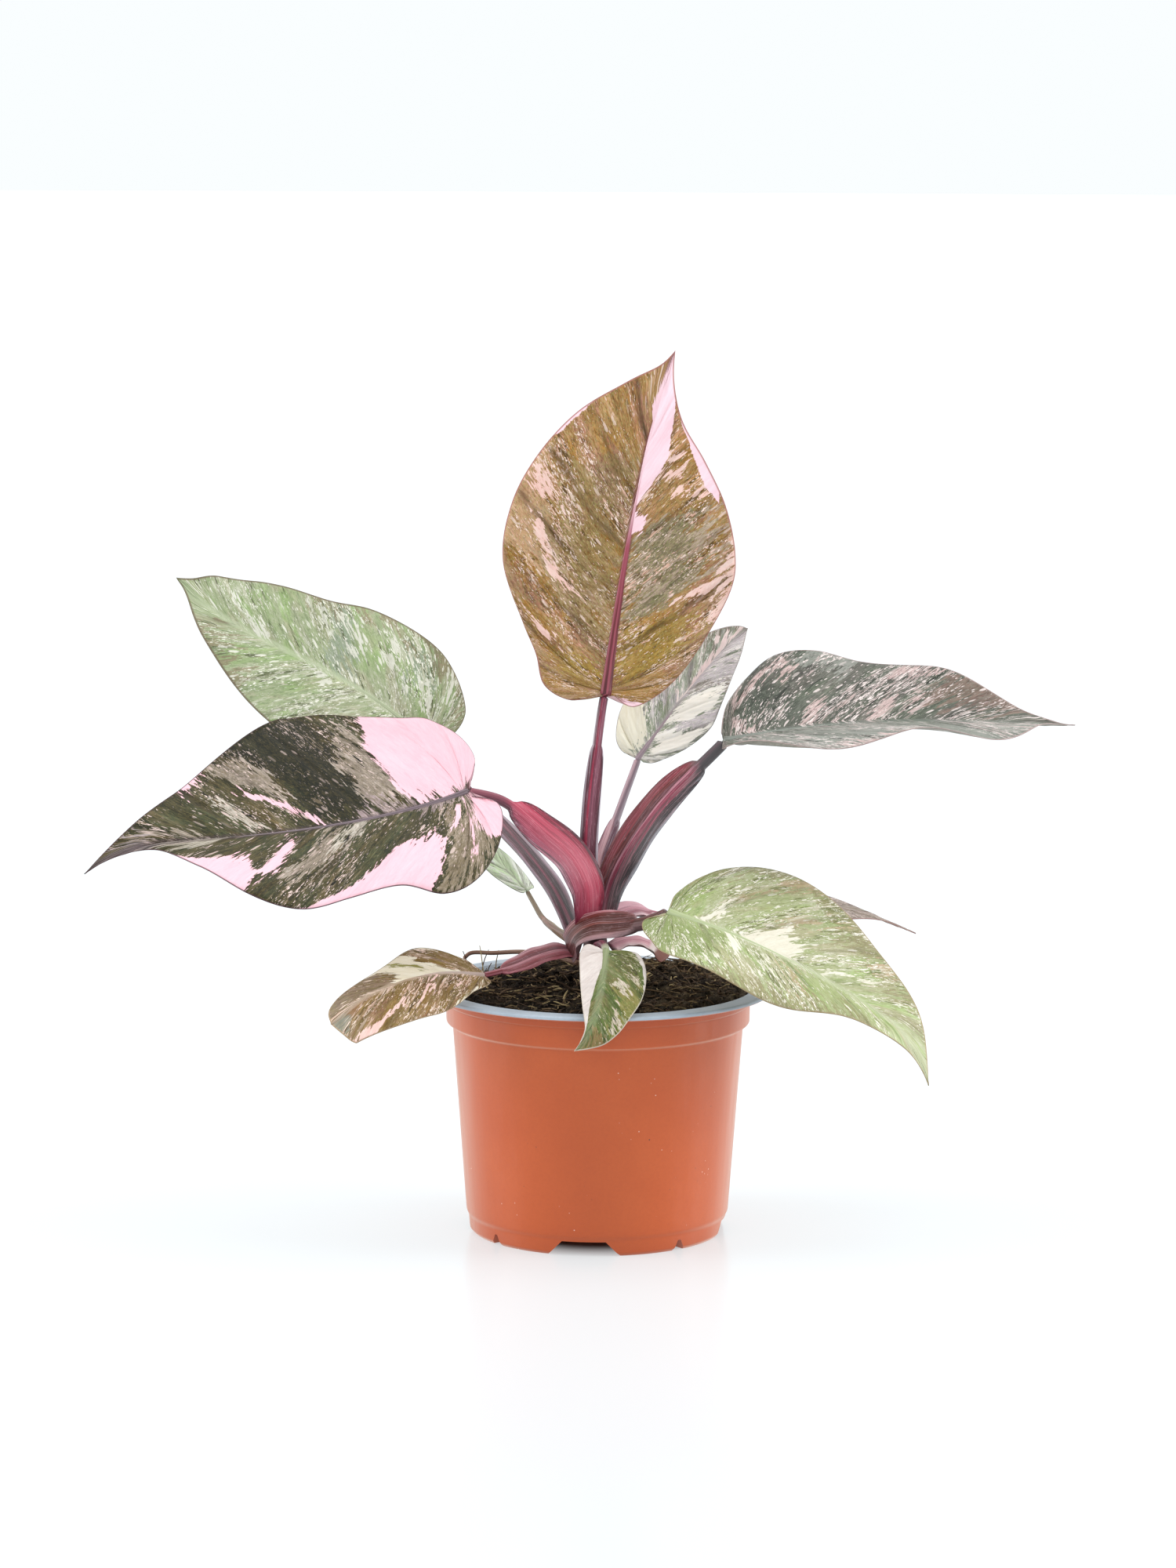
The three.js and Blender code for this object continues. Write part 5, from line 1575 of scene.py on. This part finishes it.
                     [(0.6, 0.36, 0.375), (0.8, 0.36, 0.38)], [(0.75, 0.58, 0.64), (0.96, 0.58, 0.68)],
                     [(0.1, 0.47, 0.49), (0.33, 0.47, 0.485)], [(0.12, 0.51, 0.525), (0.45, 0.545, 0.56)],
                     [(0.15, 0.6, 0.62), (0.45, 0.61, 0.63)], [(0.2, 0.665, 0.68), (0.4, 0.67, 0.68)]],
        }],
        "margin": ("A8928F", 0.35), "veins": ("9A9C90", 0.1), "crease": 0.3, "beside": ("7A8078", 0.4),
        "rib": "7E827A 9EA298 8E8A84", "rib_stripe": "5E635A", "rib_radius": 0.9, "rib_taper": 1.2,
        "under": ("A09A90", 0.5),
    },
    "small_behind": {
        "slot": "leaf_cream", "shift": (61, 24, 0), "ground": "646E5C 7C8672 989E8E B4B6AA D0CCC6 E8E2DE",
        "tints": ("A294A0", "96A080"), "grain": ("A4AC90", 0.35), "shade": ("626C5C", 0.4), "dash": 0.4,
        "flecks": marbling("D4CCC6", "F0EAE4", "848C7A", -0.004),
        "zones": [{
            "colour": "B4A8B0 C6BAC0 D6CCD0 E4DCDE", "torn": 0.8, "share": 0.95,
            "right": [[(0, 0.6, 1), (1, 0.58, 1)], [(0.2, 0.42, 0.52), (1, 0.38, 0.52)]],
            "left": [[(0.35, 0.44, 0.6), (1, 0.44, 0.66)]],
        }, {
            "colour": "5E5248 75665C 94887E", "torn": 1.1, "share": 0.8,
            "right": [[(0.3, 0.64, 0.68), (0.7, 0.6, 0.68), (1, 0.58, 0.68)]],
            "left": [[(0.5, 0.7, 0.98), (1, 0.6, 0.98)]],
        }, {
            "colour": "ECE4D8 F2ECE2 F8F4EE", "torn": 0.5, "plain": 1,
            "right": [[(0.04, 0.47, 0.58), (0.6, 0.49, 0.66), (0.92, 0.51, 0.64)],
                      [(0.05, 0.27, 0.43), (0.92, 0.24, 0.41)], [(0.1, 0.08, 0.14), (0.9, 0.04, 0.16)]],
        }, {
            "colour": "ECE4CC F2ECD8 F8F4E6", "torn": 0.5, "plain": 1,
            "left": [[(0.12, 0, 0.38), (0.5, 0, 0.42), (1, 0, 0.44)]],
        }, {
            "colour": "D8BCBC E6CFCC EFE3DC", "torn": 0.6, "plain": 1,
            "left": [[(0, 0.62, 0.8), (0.1, 0.68, 0.9), (0.38, 0.86, 0.97)],
                     [(0.1, 0.57, 0.6), (0.45, 0.6, 0.64)]],
        }],
        "margin": ("A89C98", 0.25), "veins": ("C9C2BC", 0.2), "beside": ("B4A8AC", 0.5),
        "rib": "A8949C B8A8AC D8C8C4", "rib_stripe": "8C7880", "rib_radius": 0.7,
        "under": ("B4A8A0", 0.5),
    },
    "upper_left": {
        "slot": "leaf_sage", "shift": (81, 34, 0), "ground": "788260 889470 98A27E A6AC8C B8BAA2 D0CEBE",
        "grain": ("8CA06A", 0.3), "tints": ("86A062", "98927C"), "shade": ("5C6844", 0.4),
        "flecks": marbling("B4B49C", "E2E0D2", "5E6446", 0.0),
        "zones": [{
            "colour": "7A8470 8A9484 9AA294", "torn": 1.2, "share": 0.8,
            "right": [[(0.2, 0.54, 0.6), (0.9, 0.5, 0.56), (1, 0.5, 0.56)],
                      [(0.5, 0.3, 0.38), (0.9, 0.3, 0.38)]],
        }, {
            "colour": "6A5C44 7E7058 98886E", "torn": 1.3, "share": 0.85,
            "right": [[(0.93, 0.34, 0.62), (1, 0.34, 0.62)], [(0.8, 0.1, 0.3), (1, 0.05, 0.36)]],
            "left": [[(0.8, 0.7, 0.86), (1, 0.68, 0.9)]],
        }, {
            "colour": "BFC0AA CFCDBE DEDCD0", "torn": 1.0, "share": 0.95, "plain": 0.7,
            "right": [[(0.56, 0.585, 0.61), (0.74, 0.585, 0.615)],
                      [(0.58, 0.505, 0.53), (0.74, 0.505, 0.53)], [(0.5, 0.42, 0.44), (0.7, 0.42, 0.44)],
                      [(0.3, 0.32, 0.34), (0.46, 0.32, 0.34)], [(0.7, 0.2, 0.23), (0.9, 0.2, 0.23)],
                      [(0.12, 0.76, 0.785), (0.45, 0.82, 0.84)]],
            "left": [[(0.02, 0.62, 0.66), (0.2, 0.54, 0.57)]],
        }],
        "margin": ("6E604C", 0.55), "veins": ("B4B69C", 0.1), "crease": 0.35, "beside": ("BCC4A4", 0.5),
        "rib": "A8B08E BCC4A4 A8AC8C", "rib_stripe": "8C9674", "rib_radius": 0.9,
        "under": ("A49C84", 0.5),
    },
    "lower_right": {
        "slot": "leaf_green", "shift": (101, 44, 0),
        "ground": "7E885C 929A6E A4A880 B0B492 C0BEA8 D2CCBC", "grain": ("A4B074", 0.3), "draw": 0.8,
        "tints": ("90A664", "AAA084"), "shade": ("6C743E", 0.4),
        "flecks": marbling("C2BCA4", "EAE4D8", "70744A", 0.0),
        "zones": [{
            "colour": "5E6C38 74824A 88945E A8AE84", "torn": 1.4, "share": 0.85,
            "right": [[(0.04, 0, 0.48), (0.5, 0, 0.42), (1, 0, 0.3)]],
            "left": [[(0.04, 0, 0.34), (1, 0, 0.28)]],
        }, {
            "colour": "70862E 88A044 9AAE5A", "torn": 1.3, "share": 0.3,
            "right": [[(0.1, 0.66, 0.9), (0.7, 0.64, 0.86)]],
            "left": [[(0.05, 0.22, 0.36), (0.5, 0.22, 0.34)], [(0.2, 0.48, 0.54), (0.6, 0.46, 0.53)]],
        }, {
            "colour": "6E6844 867C5A A09674", "torn": 1.2, "share": 0.85,
            "right": [[(0.8, 0.4, 0.8), (1, 0.36, 0.84)]],
            "left": [[(0.72, 0.6, 0.92), (1, 0.44, 0.94)], [(0.8, 0.1, 0.46), (1, 0.08, 0.46)]],
        }, {
            "colour": "A08A6C B49A7E C8AE96", "torn": 1.2, "share": 0.75,
            "right": [[(0.38, 0.62, 0.64), (0.54, 0.62, 0.64)]],
            "left": [[(0.4, 0.54, 0.56), (0.7, 0.56, 0.6)], [(0.86, 0.43, 0.45), (1, 0.43, 0.47)],
                     [(0.8, 0.71, 0.76), (0.95, 0.71, 0.76)], [(0.4, 0.41, 0.425), (0.55, 0.41, 0.43)]],
        }, {
            "colour": "DAD2C0 E4DDCD ECE7DA", "torn": 0.55, "share": 0.92, "plain": 0.9,
            "right": [[(0.04, 0.46, 0.5), (0.33, 0.48, 0.5)], [(0.28, 0.55, 0.57), (0.38, 0.55, 0.57)],
                      [(0.5, 0.525, 0.54), (0.58, 0.525, 0.54)]],
            "left": [[(0, 0.5, 0.63), (0.16, 0.53, 0.64), (0.34, 0.57, 0.62)],
                     [(0.02, 0.37, 0.39), (0.21, 0.44, 0.455)],
                     [(0.2, 0.405, 0.415), (0.3, 0.405, 0.415)],
                     [(0.14, 0.69, 0.705), (0.5, 0.77, 0.785)]],
        }],
        "margin": ("A08C6C", 0.35), "veins": ("C2C49E", 0.1), "crease": 0.35, "beside": ("C8CCAE", 0.35),
        "rib": "AAB488 C4CAAA A4A27A", "rib_stripe": "98A470", "rib_radius": 1.0,
        "under": ("B0A488", 0.5),
    },
    "far_right": {
        "slot": "leaf_mauve", "shift": (121, 54, 0), "ground": "544036 6A564C 7E6A60 94847A B0A298",
        "grain": ("8E8C70", 0.35), "tints": ("807A60",), "shade": ("4C3C34", 0.4),
        "flecks": marbling("B09C92", "D9C4BC", "443830"), "zones": [], "margin": ("8E6C66", 0.4),
        "veins": ("A8988C", 0.2), "beside": ("A08A84", 0.5), "rib": "A08A84 A8948C 8E7A72",
        "rib_stripe": "7C6660", "rib_radius": 0.8, "under": ("A08880", 0.5),
    },
    "lower_left": {
        "slot": "leaf_bronze", "shift": (141, 64, 0),
        "ground": "54402A 6E5634 80663E 8E7452 A2866C BEA28C", "grain": ("96904C", 0.3),
        "tints": ("A07A34", "A4705A"), "shade": ("5A4424", 0.45),
        "flecks": marbling("C8A690", "EAD2C2", "584424", 0.01),
        "zones": [{
            "colour": "66706A 7C847C 98988C", "torn": 0.8, "share": 0.8,
            "left": [[(0, 0.96, 1.2), (1, 0.9, 1.2)]],
        }, {
            "colour": "6A5A48 84705E A08A7C", "torn": 1.2, "share": 0.8,
            "right": [[(0, 0.74, 1), (1, 0.7, 1)]],
            "left": [[(0, 0.42, 0.62), (0.3, 0.5, 0.66), (0.35, 0.56, 0.62)]],
        }, {
            "colour": "DDD0B4 E9DFC8 F0E9DA", "torn": 0.5, "plain": 1,
            "right": [[(0, 0.4, 0.74), (0.2, 0.47, 0.72), (0.5, 0.48, 0.66), (0.9, 0.47, 0.66),
                       (1, 0.47, 0.7)], [(0.93, 0.16, 0.38), (1, 0.12, 0.38)]],
            "left": [[(0.9, 0.1, 0.34), (1, 0.05, 0.34)]],
        }, {
            "colour": "6E6A34 8A8444 A09A5E", "torn": 0.6,
            "right": [[(0.22, 0.545, 0.575), (0.5, 0.535, 0.57), (0.78, 0.545, 0.575)]],
        }, {
            "colour": "DDB0A8 E8C2B8 EFD0C6", "torn": 0.8, "plain": 1,
            "left": [[(0.2, 0.56, 0.59), (0.38, 0.56, 0.6)], [(0.36, 0.385, 0.405), (0.48, 0.385, 0.41)],
                     [(0.55, 0.68, 0.7), (0.72, 0.7, 0.74), (0.88, 0.74, 0.83), (1, 0.78, 0.86)]],
        }],
        "margin": ("A48A6C", 0.3), "veins": ("B09A70", 0.18), "beside": ("D0B8A4", 0.45),
        "rib": "B49C94 E0CFC0 94806C", "rib_stripe": "A48C80", "rib_radius": 0.7,
        "under": ("A08270", 0.5),
    },
    "front": {
        "slot": "leaf_sage", "shift": (161, 74, 0), "ground": "343E1C 465624 566630 687044 80805C 9C967A",
        "grain": ("728842", 0.35), "tints": ("5C6630", "786640"), "shade": ("444C24", 0.45), "dash": 0.35,
        "flecks": marbling("9C9878", "C8C0A4", "343E1C", -0.026),
        "zones": [{
            "colour": "746A32 8A7E44 A09260", "torn": 1.2, "share": 0.75,
            "left": [[(0.75, 0.44, 0.92), (1, 0.4, 0.95)]],
        }, {
            "colour": "6C5434 8C724C A89070", "torn": 0.7, "share": 0.9,
            "right": [[(0, 0.86, 1.2), (0.4, 0.92, 1.2)]], "left": [[(0.1, 0.84, 1.2), (1, 0.8, 1.2)]],
        }, {
            "colour": "B8A48E C6B4A2 D4C6B8", "torn": 0.5,
            "left": [[(0.66, 0.4, 0.43), (0.78, 0.4, 0.44)], [(0.42, 0.49, 0.51), (0.5, 0.49, 0.515)],
                     [(0.52, 0.62, 0.67), (0.74, 0.7, 0.77)]],
        }, {
            "colour": "C8BAB4 D2C6C0 DED4CE", "torn": 0.15, "plain": 1,
            "right": [[(0, 0, 0.38), (0.33, 0, 0.55), (0.6, 0, 0.72), (0.8, 0, 0.86), (1, 0, 0.94)]],
            "left": [[(0.85, 0.08, 0.24), (0.93, 0.06, 0.36), (1, 0.06, 0.52)]],
        }],
        "margin": ("C8BCAE", 0.25), "veins": ("98A474", 0.1), "beside": ("A0AC88", 0.3),
        "rib": "8A9068 747A4E 605C3A", "rib_stripe": "7C8860", "rib_radius": 0.45,
        "under": ("A49C80", 0.5),
    },
    "tiny_back": {
        "slot": "leaf_sage", "shift": (181, 84, 0), "ground": "DCE2CE E4E8DA EAEDE2 F0F2EA F6F6F0",
        "grain": ("BCC8A4", 0.3), "tints": ("9CB882",), "shade": ("B8C4A8", 0.3), "dash": 0.3,
        "flecks": marbling("D4D6C8", "E6E4DA", "A8B09C"),
        "zones": [{
            "colour": "B4C89C C0D0AA CCD8B8", "torn": 0.6, "share": 0.6,
            "right": [[(0.1, 0.42, 0.75), (0.8, 0.45, 0.75)]],
        }],
        "margin": ("8C8470", 0.25), "veins": ("C4CCB4", 0.2), "beside": ("C8CEB8", 0.4),
        "rib": "B4BCA4 BCC4AC A8AC98", "rib_stripe": "98A084", "rib_radius": 0.5,
        "under": ("B4B09C", 0.4),
    },
}

# Each stalk's finish: tones across its open face and across its back, from its left edge to its right
# one, and tones that it takes on along its length (tone, share of the length where it starts, where
# it is full, how strong).
STALK_LOOKS = {
    "top": {
        "slot": "stalk_wine",
        # Painted sheen: the lilac-pink 96586A in the darker band across the face.
        "front": [(0, "9A8A92"), (0.07, "503038"), (0.18, "6A2438"), (0.32, "AA2E4A"), (0.44, "743044"),
                  (0.6, "96586A"), (0.76, "6A3040"), (0.86, "401E28"), (0.92, "BCAAB4"), (1, "CABCC6")],
        "back": "6A5A60 6E3A4A 7E4858 5E3440 8E7A84", "stripe": "421826", "fleck": "B88C98",
    },
    "big_left": {
        "slot": "stalk_crimson",
        "front": [(0, "3A2A30"), (0.04, "A87C8A"), (0.09, "4A2832"), (0.15, "8E4458"), (0.28, "A04458"),
                  (0.42, "AA465A"), (0.55, "B44258"), (0.7, "BE5468"), (0.84, "B03850"), (0.94, "8A263C"),
                  (1, "431C28")],
        "back": "2E1E24 54303A 6E4450 54303A 4A2430", "stripe": "7A1C34", "fleck": "D48C9A",
        "along": [("861A36", 0.22, 0.02, 0.7), ("6E424E", 0.76, 0.84, 0.75)],
    },
    "long_right": {
        "slot": "stalk_wine",
        # Painted highlight: the pale grey at the right edge, 94949A across the face and 6E6C70 across the
        # back.
        "front": [(0, "6A4440"), (0.05, "762E36"), (0.18, "8A3440"), (0.28, "743230"), (0.35, "42181E"),
                  (0.41, "C28492"), (0.48, "963A52"), (0.58, "7A2C40"), (0.64, "7A585E"), (0.7, "3E3436"),
                  (0.84, "262426"), (0.93, "343234"), (1, "94949A")],
        "back": "2E2A2C 262426 222022 2E2C2E 6E6C70", "stripe": "401620", "fleck": "C08C94",
        "along": [("8E1E3C", 0.2, 0.0, 0.65), ("4E494C", 0.8, 0.88, 0.9)],
    },
    "small_behind": {
        "slot": "stalk_blush",
        "front": [(0, "8E6068"), (0.1, "D8A4AC"), (0.35, "E8B8BE"), (0.5, "DCA8AC"), (0.6, "8A5866"),
                  (0.75, "6E4856"), (0.9, "A48C94"), (1, "D0C4CA")],
        "back": "9A7684 B4949E 8E7080", "stripe": "7A5866", "fleck": "D8C8D0",
        "along": [("968690", 0.56, 0.66, 0.6)],
    },
    "upper_left": {
        "slot": "stalk_mauve",
        "front": [(0, "B8A4B0"), (0.08, "A06C7E"), (0.16, "56262F"), (0.3, "341C20"), (0.42, "9A4C60"),
                  (0.52, "7A2E42"), (0.62, "3A2226"), (0.74, "2E2426"), (0.86, "8C6A76"), (1, "BCAEB6")],
        "back": [(0, "B8A4B0"), (0.1, "8A5464"), (0.22, "6A5A5C"), (0.4, "4E5252"), (0.7, "3E4444"),
                 (1, "8C9494")],
        "stripe": "523C40", "fleck": "AC9CA2",
    },
    "lower_right": {
        "slot": "stalk_wine",
        "front": [(0, "DCA8AE"), (0.06, "B06A70"), (0.16, "783832"), (0.3, "4C2219"), (0.42, "703C35"),
                  (0.5, "94584F"), (0.58, "46221C"), (0.74, "60382F"), (0.86, "B48A8C"), (1, "A08084")],
        "back": [(0, "4A3034"), (0.5, "2E1E20"), (0.8, "664648"), (0.9, "A0868A"), (1, "765459")],
        "stripe": "34201C", "fleck": "CCA8AC",
        "along": [("5A2A30", 0.2, 0.0, 0.6), ("4E3432", 0.45, 0.75, 0.5)],
    },
    "far_right": {
        "slot": "stalk_blush", "front": "D8A8B2 DCAAB6 C48492 8E4656 E0BCC2",
        "back": "B4707E CE94A2 DCAEB8", "stripe": "7A4450", "fleck": "DCB4BC",
    },
    "lower_left": {
        "slot": "stalk_wine",
        "front": [(0, "A8606A"), (0.15, "6C2428"), (0.35, "8E424A"), (0.5, "BE8088"), (0.62, "581C20"),
                  (0.8, "96484E"), (1, "CC9AA0")],
        "back": "702A32 8E424A B0767C", "stripe": "401622", "fleck": "BC8C98",
    },
    "front": {
        "slot": "stalk_wine", "front": "3A1622 5C2434 7C3A4C", "back": "3A1622 5C2434 7C3A4C",
        "stripe": "32121C", "fleck": "A06878", "along": [("A4A88C", 0.86, 1.0, 0.9)],
    },
    "tiny_back": {
        "slot": "stalk_tan", "front": "B08C80 9A6E5A 846242 A08448 7A6238",
        "back": "9A7868 86684A 765E3E", "stripe": "54402A", "fleck": "B8A484",
        "along": [("7A6E58", 0.52, 0.62, 0.8)],
    },
    "old_sheath": {
        "slot": "stalk_blush", "roughness": 0.55, "front": "DCA0AC E8B4BE D08C9A E4AEB8 EED0D2",
        "back": "B86C7C D08C9A DCA6AE", "stripe": "9A5464", "fleck": "F0DCD8",
        "along": [("F0E4DE", 0.62, 0.7, 0.8), ("7E4234", 0.74, 0.82, 0.95)],
    },
    "dry_stalk": {
        "slot": "stalk_tan", "roughness": 0.7, "front": "7A5848 987662 B0927C",
        "back": "6E4C3C 8E6C58 A88A74", "stripe": "54382C", "fleck": "BCA08C",
    },
}

# ---- studio ---------------------------------------------------------------------------------------


def make_floor():
    """A satin white table top, far larger than the view, that the pot shades where it stands; its glow
    fades out under the pot as a painted shadow.
    """
    deselect()
    bpy.ops.mesh.primitive_circle_add(vertices=96, radius=22, fill_type="NGON")
    floor = settle("floor")
    finish = Finish("white_table", roughness=0.22, specular=0.10)
    finish.shader.inputs["Base Color"].default_value = (0.30, 0.318, 0.328, 1)
    finish.shader.inputs["Emission Color"].default_value = (0.95, 0.985, 1.0, 1)
    middle = finish.stretch(finish.place(), (1, 1, 0))
    from_axis = finish.node("ShaderNodeVectorMath", {0: middle}, operation="LENGTH").outputs["Value"]
    under_pot = POT["foot_radius"] * MM
    # Painted shadow: the table's even glow fades out under the pot's foot.
    glow_with_painted_pot_shadow = finish.rise(from_axis, under_pot * 0.62, under_pot * 1.01, 0.0, 0.53)
    finish.feed(finish.shader.inputs["Emission Strength"], glow_with_painted_pot_shadow)
    floor.data.materials.append(finish.material)


def make_lights():
    """Pale, even light from all round, and three large soft lamps."""
    world = bpy.data.worlds.new("studio")
    bpy.context.scene.world = world
    world.use_nodes = True
    background = world.node_tree.nodes["Background"]
    background.inputs["Color"].default_value = (0.955, 0.99, 1.0, 1)
    background.inputs["Strength"].default_value = 1.0
    for name, place, size, power in LAMPS:
        light = bpy.data.lights.new(name, "AREA")
        light.shape = "DISK"
        light.size = size
        light.energy = power
        lamp = bpy.data.objects.new(name, light)
        lamp.location = place
        lamp.rotation_euler = (Vector(LAMP_AIM) - Vector(place)).to_track_quat("-Z", "Y").to_euler()
        bpy.context.collection.objects.link(lamp)


def make_camera():
    data = bpy.data.cameras.new("camera")
    data.lens = CAMERA["lens"]
    data.sensor_width = CAMERA["sensor"]
    data.clip_end = 100
    camera = bpy.data.objects.new("camera", data)
    camera.location = CAMERA["place"]
    turn = spin_by(math.pi / 2 - CAMERA["tilt"], "X") @ spin_by(CAMERA["roll"], "Z")
    camera.rotation_euler = turn.to_euler()
    bpy.context.collection.objects.link(camera)
    bpy.context.scene.camera = camera
    bpy.context.scene.view_settings.view_transform = "Standard"


# ---- assembly -------------------------------------------------------------------------------------

make_camera()
make_floor()
make_lights()
make_pot()
make_soil()
make_stem()
for leaf in LEAVES:
    name = leaf["name"]
    petiole = dict(leaf["petiole"], onwards=[leaf["midrib"][0]])
    make_stalk(f"petiole_{name}", petiole, STALK_LOOKS[name])
    make_blade(leaf, BLADE_LOOKS[name])
for name, remnant in REMNANTS.items():
    make_stalk(name, remnant, STALK_LOOKS[name])

deselect()
